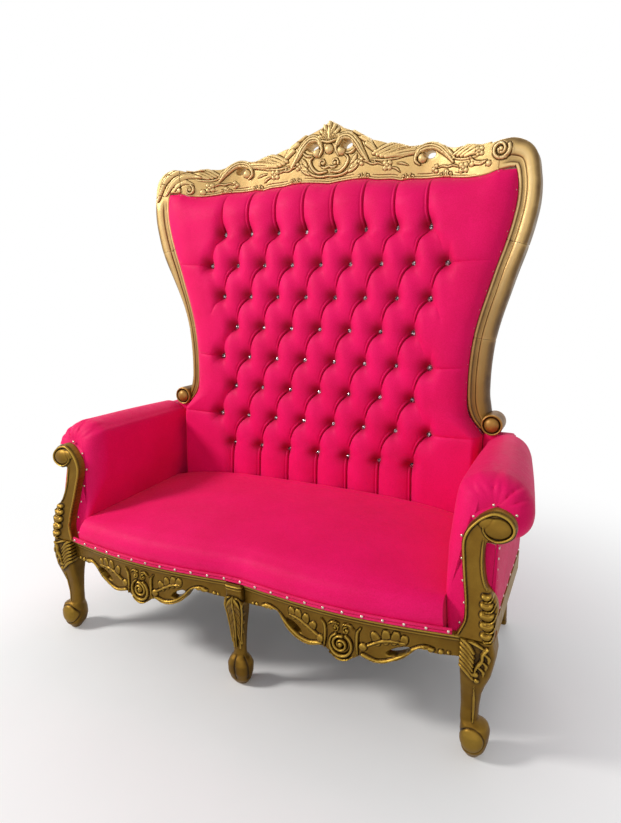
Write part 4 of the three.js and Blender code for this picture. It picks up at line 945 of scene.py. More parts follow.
def stiles():
    low, high = stile_at(JOINT_LOW), stile_at(JOINT_HIGH)
    for side, sign in SIDES:
        corner = corner_carving(side)
        for name, start, end, steps in (("lower", 0, low - JOINT_GAP, 50),
                                        ("middle", low + JOINT_GAP, high - JOINT_GAP, 34),
                                        ("upper", high + JOINT_GAP, 1, 210)):
            places = lerp(start, end, np.arange(steps + 1) / steps)
            made = [stile_ring(place, corner, STILE_CORNER[side]) for place in places]
            rings, painted_tones, h = (np.array(values) for values in zip(*made))
            # The corner's carving adds dark recesses and bright tops, partly painted shade and highlight
            painted_tones[:, :len(STILE_ACROSS)] += standing_out(h, 4)
            for end in (0,) if name == "upper" else (0, -1):
                rings[end] += (rings[end].mean(0) - rings[end]) * END_DRAW
            points, faces = tube_mesh(rings)
            make(f"moulded_stile_{name}_{side}", points * (sign, 1, 1), faces, CREST_GOLD, "antique_gold",
                 [f"stile_{name}_{side}"], painted_tones, 50)


def stile_feet():
    """The scroll at each stile's foot: a rolled end with a rim and an eye, with painted shade and highlight."""
    x, z = stile_place(0, 0.5) + (SCROLL_RADIUS * 0.62, SCROLL_RADIUS * 0.12)
    y, radius, count = STILE_FACE - STILE_WIDTH * 0.1, SCROLL_RADIUS * 1.16, 72
    angle = np.linspace(0, 2 * math.pi, count, endpoint=False)
    rings = [[(x + radius * r * math.cos(a), y + d, z + radius * r * math.sin(a)) for a in angle]
             for r, d, _ in STILE_SCROLL]
    painted_tones = np.repeat([painted_tone for _, _, painted_tone in STILE_SCROLL], count)
    make_pair("stile_scroll_{}", *tube_mesh(rings), CREST_GOLD, "antique_gold", shade_and_wear=painted_tones)


stiles()
stile_feet()

# Front rails

APRON = [[0, 0.43], [0.07, 0.4], [0.14, 0.37], [0.19, 0.34], [0.25, 0.66], [0.34, 0.83], [0.42, 0.79], [0.46, 0.88],
         [0.51, 1], [0.56, 0.88], [0.6, 0.79], [0.68, 0.83], [0.77, 0.66], [0.84, 0.4], [0.9, 0.46], [1, 0.44]]


def rail_x(share):
    return lerp(CENTRE_LEG_WIDTH / 2 + SEAM, CORNER_X - SEAM, share)


APRON_CURVE = spline([(rail_x(s), RAIL_TOP - APRON_DROP * d) for s, d in APRON], 140)


def apron_low(x):
    return np.interp(x, *APRON_CURVE.T)


def rail_carving():
    c = Carving()
    # Bead moulding under the gimp, and a fillet below it
    for z, width, rise in ((342, 8, 4.5), (331, 3.4, 1.8)):
        c.stroke([(30, z), (350, z), (671, z)], width, rise, (1, 1), 40)
    # Beads along the lower edge
    for x, up, radius, rise in ((62, 7, 5, 5), (76, 7, 6, 5), (624, 9, 7.5, 6), (643, 9, 5, 6), (112, 9, 9, 8),
                                (598, 9, 9, 8)):
        c.bead(x, float(apron_low(x)) + up, radius, rise)
    # S-scrolls that follow the lower edge
    c.scroll([(100, 300), (124, 303), (152, 290), (182, 262), (216, 238), (256, 230), (292, 240)], 19, 8, (0.15,),
             (0.5, 0.6))
    c.scroll([(418, 236), (456, 224), (492, 231), (524, 251), (552, 276), (580, 293), (604, 292)], 19, 8, (0.15,),
             (0.6, 0.5))
    # A leaf over each slit: its lobes, its spine and the bead at its end
    for bend, width, lobes, spine, end in (
            (-1, 24, [(206, 296, 198, 314), (224, 292, 220, 314), (244, 284, 246, 307), (262, 274, 270, 290)],
             [(194, 302), (224, 295), (254, 280), (284, 262)], (292, 254)),
            (1, 25, [(522, 294, 530, 308), (502, 292, 508, 316), (480, 288, 480, 314), (458, 280, 448, 302)],
             [(532, 296), (500, 296), (466, 288), (432, 268)], (418, 260))):
        for x0, z0, x1, z1 in lobes:
            c.stroke([(x0, z0), ((x0 + x1) / 2 + bend, (z0 + z1) / 2), (x1, z1)], width, 5.5, (0.7, 0.8), 12)
        c.stroke(spine, 9, 7.5, (0.4, 0.8), 24)
        c.bead(*end, 12, 9)
    # Rosette in its cartouche
    x, z = rail_x(0.505), RAIL_TOP - APRON_DROP * 0.63
    c.volute(x, z, 25, 9, 10, 1.4, 1.6)
    c.stroke([(x + 32 * math.sin(a), z - 2 + 34 * math.cos(a)) for a in np.linspace(0.5, 2 * math.pi - 0.5, 14)],
             9.5, 9, (0.7, 0.7), 60)
    for sign in (1, -1):
        c.stroke([(x + sign * out, z + up) for out, up in ((58, 62), (48, 44), (47, 8), (50, -24))], 8, 7,
                 (0.4, 0.3), 20)
        c.volute(x + sign * 16, z + 44, 10, 5, 6.5, math.pi / 2, sign * 1.1)
        c.stroke([(x + sign * out, z + up) for out, up in ((6, 60), (24, 62), (40, 50))], 6, 6, (0.5, 0.3), 14)
    c.stroke([(x + out, z - down) for out, down in ((-34, 32), (-18, 44), (2, 49), (20, 44), (34, 32))], 7, 6,
             (0.5, 0.5), 20)
    return c


# Middle, width, height and tilt of the two slits
SLITS = [(rail_x(0.275), 266, 58, 19, -0.55), (rail_x(0.755), 266, 70, 21, 0.42)]
RAIL_STEP, RAIL_LIMITS, RAIL_LEAN, RAIL_LEAN_REACH = 1.9, (27, 674, 190, 351), 3.5, 30


def front_rails():

    def inside(x, z):
        body = np.minimum.reduce([z - apron_low(x), RAIL_TOP - z, x - CENTRE_LEG_WIDTH / 2 - SEAM, CORNER_X - SEAM - x])
        for slit in SLITS:
            body = np.minimum(body, -ellipse_distance(x, z, *slit) * 1.6)
        return body

    def front(x, z):
        return rail_face(x) + RAIL_LEAN * smooth((RAIL_TOP - z) / RAIL_LEAN_REACH)

    points, faces, shade_and_wear = carved_plate(RAIL_LIMITS, RAIL_STEP, inside, rail_carving().height, front,
                                         RAIL_THICK - 6, edge=4, edge_drop=3)
    make_pair("carved_front_rail_{}", points, faces, GOLD, "antique_gold", "front_rail_{}", shade_and_wear, 55)


front_rails()

# Arm posts

POST = [[0.02, 0], [0.12, 0.07], [0.17, 0.14], [0.17, 0.23], [0.14, 0.32], [0.09, 0.44], [0.04, 0.58], [0, 0.725],
        [0.06, 0.82], [0.18, 0.89], [0.35, 0.955], [0.58, 1], [0.82, 0.975], [0.95, 0.93], [1, 0.865], [0.96, 0.81],
        [0.82, 0.767], [0.65, 0.75], [0.5, 0.762], [0.45, 0.72], [0.45, 0.615], [0.49, 0.51], [0.55, 0.425],
        [0.66, 0.37], [0.75, 0.32], [0.79, 0.25], [0.78, 0.144], [0.76, 0]]
POST_ROUND = 15
POST_BEAD = [(0.1, 0.03), (0.21, 0.14), (0.21, 0.23), (0.18, 0.33), (0.13, 0.45), (0.08, 0.59), (0.045, 0.725),
             (0.1, 0.81), (0.21, 0.875), (0.37, 0.935), (0.58, 0.975), (0.8, 0.955), (0.92, 0.91), (0.955, 0.865),
             (0.91, 0.82), (0.79, 0.787), (0.65, 0.772), (0.5, 0.79), (0.4, 0.83), (0.38, 0.87)]
POST_LINE = [(0.41, 0.77), (0.405, 0.7), (0.41, 0.61), (0.44, 0.52), (0.5, 0.44), (0.56, 0.4)]
HUSKS = [(0.63, 0.06, 15), (0.625, 0.135, 18), (0.61, 0.21, 19), (0.59, 0.285, 17), (0.57, 0.35, 13)]
POST_INNER = ARM_IN + (ARM_OUT - ARM_IN) * 0.21
POST_STEP, BOSS_RISE, TAIL_RISE = 1.7, 11, 8


def on_post(x, z):
    return (POST_INNER + POST_WIDTH * x, POST_BASE + POST_HEIGHT * z)


def arm_posts():
    outline = spline([on_post(*p) for p in POST], 150)
    c = Carving()
    # Bead along the inner edge that winds round the boss, and a line along the outer one
    c.stroke([on_post(*p) for p in POST_BEAD], 8, 7, (0.6, 0.6), 110)
    c.stroke([on_post(*p) for p in POST_LINE], 5.5, 4.5, (0.6, 0.4), 40)
    for share_x, share_z, size in HUSKS:
        x, z = on_post(share_x, share_z)
        for turn in (2, 1):
            c.stroke([(x - size * 0.4, z - size * 0.75 - 3 * turn), (x + size * 0.7, z - size * 0.5 - 2.5 * turn),
                      (x + size * 1.15 + turn, z + size * 0.45)], 5, 9 - turn, (0.5, 0.5), 14)
        c.stroke([(x - size * 0.55, z + 1), (x + size * 0.1, z - 1), (x + size * 0.6, z + 4)], size * 1.25, 12,
                 (0.8, 0.6), 10)
    boss_x, boss_z = on_post(0.65, 0.868)

    def height(x, z):
        boss = BOSS_RISE * cap(((x - boss_x) / 35) ** 2 + ((z - boss_z) / 25) ** 2)
        tail = TAIL_RISE * cap(((x - boss_x + 22) / 26) ** 2 + ((z - boss_z - 8) / 16) ** 2)
        return np.maximum.reduce([c.height(x, z), boss, tail])

    limits = (POST_INNER - 3, POST_INNER + POST_WIDTH + 3, POST_BASE - 2, POST_BASE + POST_HEIGHT + 3)
    points, faces, shade_and_wear = carved_plate(limits, POST_STEP, lambda x, z: polygon_distance(x, z, outline), height,
                                         lambda x, z: 2 - POST_FACE + 0 * x, POST_THICK - 2.5, 4, 3.5)
    points[:, 1] += POST_LEAN * (points[:, 2] - POST_BASE)
    make_pair("carved_arm_post_{}", points, faces, GOLD, "antique_gold", "arm_post_{}", shade_and_wear, 55)


arm_posts()

# Legs


def round_ring(x0, x1, y0, y1, z, square, count=144):
    """A ring between an oval and a rounded square, with evenly spaced points."""
    angle = np.linspace(0, math.pi / 2, 240)
    power = lerp(1.0, 0.32, square)
    quarter = np.stack([(x1 - x0) / 2 * np.abs(np.cos(angle)) ** power,
                        (y1 - y0) / 2 * np.abs(np.sin(angle)) ** power], -1)
    length = lengths(quarter)
    even = np.linspace(0, length[-1], count // 4 + 1)
    c, s = (np.interp(even, length, side) for side in quarter.T)
    x = np.concatenate([c[:-1], -c[:0:-1], -c[:-1], c[:0:-1]]) + (x0 + x1) / 2
    y = np.concatenate([s[:-1], s[:0:-1], -s[:-1], -s[:0:-1]]) + (y0 + y1) / 2
    return np.stack([x, y, np.full(len(x), z)], -1)


def leg(shares, rows, ring_of, carving, emboss):
    """Rings through a table of shares, with carving on the front and embossing all round, and their shade-and-wear
    marks: dark in recesses and grooves, partly as painted shade.
    """
    shares = np.array(shares, float)
    heights = np.linspace(0, 1, rows)
    smoothed = np.stack([np.interp(heights, shares[:, 0], column) for column in shares.T[1:]], -1)
    for _ in range(3):
        smoothed[1:-1] = (smoothed[:-2] + 2 * smoothed[1:-1] + smoothed[2:]) / 4
    rings = np.array([ring_of(height, *row) for height, row in zip(heights, smoothed)])
    out = (rings - rings.mean(1, keepdims=True)) * (1, 1, 0)
    out = unit(out)
    h = carving.height(rings[..., 0], rings[..., 2]) * clamp(-out[..., 1] * 2.4 - 0.5)
    extra = emboss(rings, out)
    shade_and_wear = clamp((h - blur(h, 5)) / 1.6 + extra / np.where(extra < 0, 2.5, 9), -1, 1)
    return rings + out * (h + extra - LEG_SKIN)[..., None], shade_and_wear


LEG_ROWS, REAR_LEG_ROWS, LEG_SKIN = 180, 70, 1
BOSS_X, BOSS_Z, BOSS_RADIUS, BOSS_TOP = CORNER_X + 42, 60, 33, 108
# Rows of height, inner and outer side, front and back
FRONT_LEG = [[0, 0.32, 0.72, 0.24, 0.62], [0.06, 0.16, 0.92, 0.05, 0.9], [0.13, 0.09, 1.0, 0.0, 0.97],
             [0.21, 0.08, 1.03, 0.0, 0.94], [0.265, 0.09, 0.96, 0.06, 0.86], [0.298, 0.06, 0.64, 0.2, 0.74],
             [0.41, 0.06, 0.65, 0.22, 0.74], [0.53, 0.04, 0.7, 0.16, 0.76], [0.62, 0.03, 0.81, 0.08, 0.8],
             [0.72, 0.01, 0.97, 0.0, 0.88], [0.82, 0, 1.05, -0.02, 0.96], [0.9, 0, 1.08, -0.02, 1], [1, 0, 1, 0, 1]]
# Rows of height, half width, front and back
CENTRE_LEG = [[0, 0.38, 0.4, 0.95], [0.05, 0.6, 0.18, 1.1], [0.12, 0.72, 0.02, 1.25], [0.2, 0.74, 0.0, 1.3],
              [0.25, 0.6, 0.12, 1.18], [0.285, 0.38, 0.32, 0.98], [0.35, 0.36, 0.34, 0.95], [0.55, 0.42, 0.26, 0.95],
              [0.7, 0.5, 0.16, 0.98], [0.79, 0.56, 0.02, 1], [0.81, 0.5, 0, 1], [1, 0.5, 0, 1]]
# Rows of height, splay and width
REAR_LEG = [[0, 1, 0.62], [0.35, 0.62, 0.62], [0.6, 0.3, 0.75], [0.78, 0.06, 0.94], [0.82, 0, 1], [1, 0, 1]]


def front_legs():
    c = Carving()

    def stroke(points, *rest):
        c.stroke([(CORNER_X + x, z) for x, z in points], *rest)

    # Leaf over the knee: slanting lobes on its inner half and a waved spine with husks
    for z in 350 - 12.5 * np.arange(7):
        stroke([(1, z), (18, z - 9), (38, z - 32)], 12, 6, (0.7, 0.5), 14)
    stroke([(20, 350), (42, 343), (64, 334)], 8, 6, (0.6, 0.6), 14)
    stroke([(70, 338), (59, 320), (57, 301), (46, 281), (42, 264)], 9, 7.5, (0.7, 0.4), 30)
    for k in range(3):
        stroke([(64 - 7 * k, 322 - 20 * k), (74 - 6 * k, 312 - 20 * k), (74 - 6 * k, 298 - 20 * k)], 8, 4.5,
               (0.8, 0.3), 12)
    for x, z, radius in ((44, 260, 8), (47, 241, 7)):
        c.bead(CORNER_X + x, z, radius, 6.5)
    stroke([(42, 222), (42, 160), (42, 106)], 7, 2.6, (0.2, 0.5), 26)

    def ring_of(height, inner, outer, front, back):
        corner = lerp(0.25, 0.92, smooth((height - 0.3) / 0.5))
        return round_ring(CORNER_X + LEG_WIDTH * inner, CORNER_X + LEG_WIDTH * outer, LEG_DEPTH * front - LEG_FACE,
                          LEG_DEPTH * back - LEG_FACE, RAIL_TOP * height, corner)

    def emboss(rings, out):
        # The foot's scroll: a round boss on the ball, with a line round it
        x, z = rings[..., 0], rings[..., 2]
        d = np.hypot(x - BOSS_X, z - BOSS_Z)
        boss = 6 * cap((d / BOSS_RADIUS) ** 2) - 2 * bell(d - BOSS_RADIUS - 1, 1.9)
        return boss * clamp(-out[..., 1] * 2) * (z < BOSS_TOP)

    rings, shade_and_wear = leg(FRONT_LEG, LEG_ROWS, ring_of, c, emboss)
    rings[..., 0] = np.maximum(rings[..., 0], CORNER_X + SEAM)
    make_pair("carved_front_leg_{}", *tube_mesh(rings), GOLD, "antique_gold", "front_leg_{}", shade_and_wear)


def centre_leg():
    c = Carving()
    for z, width, rise in ((339, 5, 3), (330, 3, 2)):
        c.stroke([(-28, z), (0, z), (28, z)], width, rise, (1, 1), 10)
    for sign in (1, -1):
        c.fronds([(0, 304), (0, 260), (0, 190)], [(sign * 30, 270), (sign * 24, 214), (sign * 14, 140)], 4, 18, 5.5)
        c.stroke([(sign * x, z) for x, z in ((8, 306), (22, 300), (27, 276), (21, 220), (13, 150))], 6, 7,
                 (0.6, 0.5), 30)
    c.stroke([(0, 306), (0, 240), (0, 130)], 6.5, 7.5, (0.8, 0.4), 24)
    for x in (-11, 11):
        c.stroke([(x, 160), (x * 0.95, 126)], 7, 4, (0.4, 0.9), 10)

    def ring_of(height, half, front, back):
        return round_ring(-CENTRE_LEG_WIDTH * half, CENTRE_LEG_WIDTH * half, CENTRE_LEG_DEPTH * front - CENTRE_LEG_FACE,
                          CENTRE_LEG_DEPTH * back - CENTRE_LEG_FACE, RAIL_TOP * height,
                          lerp(0.1, 0.95, smooth((height - 0.3) / 0.45)))

    def emboss(rings, out):
        # The ball foot has lobes, each bounded by a groove
        z = rings[..., 2]
        ball = smooth((z - 14) / 14) * (1 - smooth((z - 92) / 14))
        lobes = np.abs(np.sin(2.5 * np.arctan2(out[..., 1], out[..., 0]) + 0.6 + z / 160)) ** 0.35
        return -4.5 * ball * (1 - lobes)

    rings, shade_and_wear = leg(CENTRE_LEG, LEG_ROWS, ring_of, c, emboss)
    limit = np.where(rings[..., 2] > RAIL_BOTTOM + 2, CENTRE_LEG_WIDTH / 2, np.inf)
    rings[..., 0] = np.clip(rings[..., 0], -limit, limit)
    make("carved_centre_leg", *tube_mesh(rings), GOLD, "antique_gold", ["front_leg_centre"], shade_and_wear)


def rear_legs():
    side_x, y = REAR_LEG_INNER + REAR_LEG_HALF, REAR_RAIL_FRONT + REAR_RAIL_THICK - REAR_LEG_HALF
    for name, x, top in (("right", side_x, RAIL_TOP), ("left", -side_x, RAIL_TOP), ("centre", 0, RAIL_BOTTOM - SEAM)):

        def ring_of(height, splay, width):
            half, middle = REAR_LEG_HALF * width, y + REAR_LEG_SPLAY * splay
            return round_ring(x - half, x + half, middle - half, middle + half, top * height, 0.85, 64)

        def emboss(rings, out):
            share = rings[..., 2] / top
            return -2.2 * bell(share - 0.76, 0.012) - 1.4 * bell(share - 0.06, 0.01)

        rings, shade_and_wear = leg(REAR_LEG, REAR_LEG_ROWS, ring_of, Carving(), emboss)
        make(f"shaped_rear_leg_{name}", *tube_mesh(rings), GOLD, "antique_gold", [f"rear_leg_{name}"], shade_and_wear)


front_legs()
centre_leg()
rear_legs()

# Seat

ARM_INNER = [[0, 0.11], [0.26, 0.05], [0.5, 0], [0.72, 0], [1, 0]]
SEAT_SWELL = [[0, 0.15], [0.12, 0.45], [0.3, 0.8], [0.6, 1], [1, 0.95]]
SEAT_RINGS, SEAT_RING_POINTS = 181, 110
PUCKER_HEIGHT, PUCKER_DEPTH, PUCKER_LENGTH = 16, 40, 9.2


def arm_front(z):
    return -POST_FACE + POST_THICK + SEAM + POST_LEAN * (z - RAIL_TOP)


def arm_inner_face(z, back):
    """The arm's side towards the seat, at a height and a share of the way back."""
    share = (z - RAIL_TOP) / (ARM_TOP - RAIL_TOP)
    return ARM_IN + (ARM_OUT - ARM_IN) * table(ARM_INNER, share) * (1 - ARM_NARROW * back)


def seat_ring(a):
    """A section of the seat from front to back, at a share of its half width."""
    low = PAD_BOTTOM

    def edge_x(y, z):
        back = clamp((y - arm_front(z)) / (ARM_BACK - arm_front(z)))
        return float(a * (arm_inner_face(z, back) - SOFT_SEAM))

    def top(share):
        return lerp(SEAT_FRONT, SEAT_BACK, share) + SEAT_CROWN * (1 - a**4) * table(SEAT_SWELL, share)

    near = edge_x(-POST_FACE, low)
    front = rail_face(near) - SEAT_OVER
    back = button_plane(near, low) - TUFT - SOFT_SEAM - PLANE_LEAN * 0.2
    depth, rise = back - front, top(0) - low
    spots = [(front + depth * 0.02, low), (front, low + rise * 0.1), (front - rise * 0.03, low + rise * 0.5),
             (front + rise * 0.12, low + rise * 0.82), (front + rise * 0.4, top(0))]
    spots += [(front + depth * s, top(s)) for s in (0.12, 0.28, 0.45, 0.62, 0.8, 0.93)]
    spots += [(back, top(1) - rise * 0.1), (back, low + rise * 0.4)]
    y, z = spline(spots, SEAT_RING_POINTS).T
    y, z = np.minimum(y, back), np.maximum(z, low)
    # Small puckers above the welt
    y = y + bell(z - low, PUCKER_HEIGHT) * (y < front + PUCKER_DEPTH) * math.sin(near / PUCKER_LENGTH)
    y, z = np.append(y, back - depth * 0.03), np.append(z, low)
    return [(edge_x(*spot), *spot) for spot in zip(y, z)]


def seat():
    rings = [seat_ring(a) for a in np.sin(np.linspace(-1, 1, SEAT_RINGS) * math.pi / 2)]
    piece = make("tight_seat", *tube_mesh(rings), PINK, "pink_leather", ["seat_pad"], sharp=70)


seat()

# Arms

ROLL = [[0.05, 0.66], [0.17, 0.88], [0.4, 1], [0.64, 0.98], [0.84, 0.85], [0.96, 0.64], [1, 0.42], [0.97, 0.2],
        [0.86, 0.04], [0.72, 0]]
ROLL_HEIGHT = ARM_TOP - ARM_UNDER
ROLL_X, ROLL_Z = ARM_OUT - ROLL_HEIGHT * 0.62, ARM_UNDER + ROLL_HEIGHT * 0.5
HUB_X, HUB_Z = lerp(ARM_IN, ARM_WEB, 0.6), lerp(ARM_UNDER, ARM_TOP, 0.4)
WEB_SHARES = (0.02, 0.25, 0.5, 0.75, 1)
ROLL_FROM, ROLL_OVER, ARM_TAPER, ARM_WAIST = 430, 160, 0.15, 3.5
# Radius of the front's rounding beside the post and on the roll, and how far back the pleats reach
POST_ROUNDING, ROLL_ROUNDING, PLEAT_REACH, PLEAT_WIDTH = 11, 68, 40, 0.0055
PRESSED = 6
# Place round the section, depth and slant of each pleat on the arm's front
ARM_PLEATS = [(0.41, 4, 0.03), (0.45, 5, -0.03), (0.495, 8, 0.03), (0.54, 5, -0.03), (0.585, 11, 0.05), (0.65, 8, 0.03)]


def arm_section(back):
    """The arm's outline at a share of the way back: up its inner side, over the roll and down the flat web."""
    width = (ARM_OUT - ARM_IN) * (1 - ARM_NARROW * back)
    heights = [lerp(POST_BASE, ARM_TOP, s) for s in (0, 0.13, 0.26, 0.38, 0.5)]
    inner = [(float(arm_inner_face(z, back)), z) for z in heights]
    over = [(ARM_IN + width * (x if x <= 0.3 else lerp(0.3, x, 1 - ARM_TAPER * back)), ARM_UNDER + ROLL_HEIGHT * z)
            for x, z in ROLL]
    curve = spline(inner + over, 120)
    limit = np.where(curve[:, 1] < 560, arm_inner_face(curve[:, 1], back), 0)
    curve[:, 0] = np.maximum(curve[:, 0], limit)
    return np.vstack([curve, [(ARM_WEB, lerp(ARM_UNDER, POST_BASE, s)) for s in WEB_SHARES]])


def arm_ring(back):
    section = arm_section(back)
    x, z = section.T
    share = np.linspace(0, 1, len(section))
    reach = ARM_BACK - arm_front(z)
    ahead = back * reach
    rolled = smooth((z - ROLL_FROM) / ROLL_OVER)
    # The front is rounded over, widely on the roll and tightly beside the post
    radius = lerp(POST_ROUNDING, ROLL_ROUNDING, rolled)
    inset = radius * 0.92 * (1 - round_off(ahead / radius)) + 6 * (1 - clamp((1 - back) * reach / 20))
    fade = np.exp(-ahead / PLEAT_REACH) * clamp(ahead / 10 + 0.25)
    for at, deep, lean in ARM_PLEATS:
        off = share - at - lean * clamp(ahead / 90)
        inset = inset + (deep * np.exp(-np.abs(off) / PLEAT_WIDTH) - 5 * bell(off - 0.024, 0.018)) * fade
    inset = inset - ARM_WAIST * math.sin(math.pi * clamp((back - 0.05) / 0.95)) * rolled
    inset[-len(WEB_SHARES):] = 0
    hub_z = np.where(x < ROLL_X - 20, np.minimum(z, ROLL_Z), ROLL_Z)
    moved = section + unit(np.stack([ROLL_X - x, hub_z - z], -1)) * inset[:, None]
    # Where it meets the buttoned back it is pressed against the padding
    pressed = PRESSED * smooth((back - 0.93) / 0.07) * (x < ROLL_X - 60)
    return np.stack([moved[:, 0] - pressed, arm_front(z) + ahead, moved[:, 1]], -1)


def arms():
    steps = np.concatenate([np.linspace(0, 0.16, 56), np.linspace(0.17, 0.94, 36), np.linspace(0.95, 1, 10)])
    points, faces = tube_mesh([arm_ring(back) for back in steps],
                              [(HUB_X, arm_front(HUB_Z), HUB_Z), (HUB_X, ARM_BACK, HUB_Z)])
    for piece in make_pair("rolled_arm_{}", points, faces, PINK, "pink_leather", "arm_pad_{}", sharp=60):
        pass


arms()

# Outside panels, and leather over the timber at the back

PANEL_X = ARM_WEB + ARM_RAIL_WIDTH + 2 * SEAM
PANEL_NAIL_RADIUS, PANEL_NAIL_OUT, BACK_NAIL_PITCH, POST_DRAW = 4.2, 6.5, 58, 2.4


def mirrored(spots):
    return [(sign * x, y, z) for x, y, z in spots for sign in (1, -1)]


def cad_box(name):
    """Corners of a CAD solid's box, in the millimetres that make() takes."""
    return (np.array(corner) * MM - (0, SHIFT_Y, 0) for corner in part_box(name))


def outside_arm():
    low, high = POST_BASE, ARM_UNDER - SEAM
    v, u = np.meshgrid(np.linspace(0, 1, 41), np.linspace(0, 1, 61))
    z = lerp(low, high, v)
    y = lerp(arm_front(z), ARM_BACK, u)
    edge = np.minimum(np.minimum(v, 1 - v) * (high - low), np.minimum(u, 1 - u) * (ARM_BACK - arm_front(z)))
    x = PANEL_X + 5 + 3.2 * (round_off(edge / 40) + np.sin(math.pi * v)) + 0.5 * np.sin(y / 24) * np.sin(z / 31)
    points, faces = slab(np.stack([x, y, z], -1), np.stack([0 * z + PANEL_X, y, z], -1))
    make_pair("outside_arm_{}", points, faces, PINK, "pink_leather", "outside_arm_panel_{}", sharp=60)
    spots = [(PANEL_X + PANEL_NAIL_OUT, float(arm_front(z)) + 9, z) for z in np.linspace(low + 10, high - 12, 9)]
    spots += [(PANEL_X + PANEL_NAIL_OUT, y, low + 10)
              for y in np.linspace(float(arm_front(low)) + 9, ARM_BACK - 14, 9)[1:]]
    nails("outside_arm_nails", mirrored(spots), (1, 0, 0), PANEL_NAIL_RADIUS)


def arm_closures():
    """Leather over the open end between the arm's padding and its outside panel, behind the post."""
    rings = []
    for z in np.linspace(RAIL_TOP + 2 * SEAM, ARM_UNDER - 2 * SEAM, 40):
        inner = 3 - 0.7 * math.sin(z / 23) ** 2
        rings.append([(ARM_WEB + out, float(arm_front(z)) + 0.4 + deep, z) for out, deep in (
            (0.7, 0.6), (3, 0), (15, -0.3), (27, 0), (29.7, 0.6), (29.7, inner), (0.7, inner))])
    make_pair("arm_front_cover_{}", *tube_mesh(rings), PINK, "pink_leather")


def covered_posts():
    """The timber posts at the back of the arms, under the same leather."""
    for side, _ in SIDES:
        for solid in ("arm_back_post", "back_upright"):
            (x0, y0, z0), (x1, y1, z1) = cad_box(f"{solid}_{side}")
            rings = []
            for share in np.linspace(0, 1, 60):
                draw = POST_DRAW * (1 - round_off(min(share, 1 - share) / 0.02)) + 0.35 * math.sin(share * 21) ** 2
                rings.append(round_ring(x0 + draw, x1 - draw, y0 + draw, y1 - draw, lerp(z0, z1, share), 0.9, 48))
            make(f"covered_{solid}_{side}", *tube_mesh(rings), PINK, "pink_leather", [f"{solid}_{side}"])


def dust_sheet():
    """Thin black cloth stretched under the seat frame, sagging a little between its tacks."""
    low, high = cad_box("dust_cover")
    u, v = np.meshgrid(np.linspace(0, 1, 121), np.linspace(0, 1, 61))
    x, y = lerp(low[0], high[0], u), lerp(low[1], high[1], v)
    pull = np.minimum(np.minimum(u, 1 - u) * 20, np.minimum(v, 1 - v) * 9)
    z = high[2] - 0.3 - 3 * smooth(pull / 3) - 0.5 * np.sin(u * 90) ** 2 * np.exp(-pull * 3)
    points, faces = slab(np.stack([x, y, z - 1], -1), np.stack([x, y, z], -1))
    piece = make("dust_sheet", points, faces, CLOTH, "dust_cloth", ["dust_cover"], sharp=60)


def outside_back():
    near = PAD_RECESS + BATTEN_THICK + 2 * SOFT_SEAM + SEAM / 2
    top = FABRIC_TOP - CREST_END * 0.3

    def width(z):
        return np.where(z <= LOWER_BACK, 700, half_width(z) - 2 * SEAM)

    def climb(x):
        """How far its upper edge rises to follow the crest's lower one."""
        return (crest_lower(x) - 2 - top) * (1 - smooth((np.abs(x) - 520) / 60))

    def nail(x, z):
        return (x, float(frame_face(x, z)) + near + 7, z)

    heights = np.concatenate([np.linspace(RAIL_BOTTOM, LOWER_BACK, 70),
                              np.linspace(LOWER_BACK + SOFT_SEAM, top, 130)])
    u, z = np.meshgrid(np.linspace(-1, 1, 121), heights)
    x = u * width(z)
    edge = np.minimum(np.minimum(z - RAIL_BOTTOM, top - z), width(z) - np.abs(x))
    z = z + climb(x) * smooth((z - 1400) / (top - 1400))
    y = frame_face(x, z) + near
    puff = 4.5 + 4 * round_off(edge / 60) + 0.5 * np.sin(x / 47 + z / 90) * np.sin(z / 63)
    points, faces = slab(np.stack([x, y + puff, z], -1), np.stack([x, y, z], -1))
    make("outside_back", points, faces, PINK, "pink_leather", ["outside_back_panel"], sharp=60)
    spots = mirrored([nail(float(width(z)) - 12, z) for z in np.arange(RAIL_BOTTOM + 14, top - 10, BACK_NAIL_PITCH)])
    for x in np.arange(-640, 641, BACK_NAIL_PITCH):
        _, y, z = nail(x, RAIL_BOTTOM)
        spots.append((x, y, z + 12))
    for x in np.arange(-520, 521, BACK_NAIL_PITCH):
        _, y, z = nail(x, top + float(climb(x)))
        spots.append((x, y, z - 12))
    nails("outside_back_nails", spots, (0, 1, 0), PANEL_NAIL_RADIUS)


outside_arm()
arm_closures()
covered_posts()
dust_sheet()
outside_back()

# Welts and nail heads

# Section of the strip of leather round the buttoned back: distance from its outer edge, and height
WELT_RADIUS, WELT_HEIGHTS, NAIL_PITCH, BORDER_NAIL_PITCH = 4.1, (4.2, 12.6), 56, 60
STRIP = ((-12, 2.6), (-10.4, 4), (-6, 4.4), (-1.6, 4), (0, 2.6), (0, 0.8), (-12, 0.8))


def piping(path, radius):
    """A round welt along a level path."""
    run = unit(np.gradient(path, axis=0))
    side = unit(np.cross(run, (0, 0, 1)))
    over = np.cross(side, run)
    angle = np.linspace(0, 2 * math.pi, 14, endpoint=False)[:, None]
    return tube_mesh([p + radius * (np.cos(angle) * s + np.sin(angle) * o) for p, s, o in zip(path, side, over)])


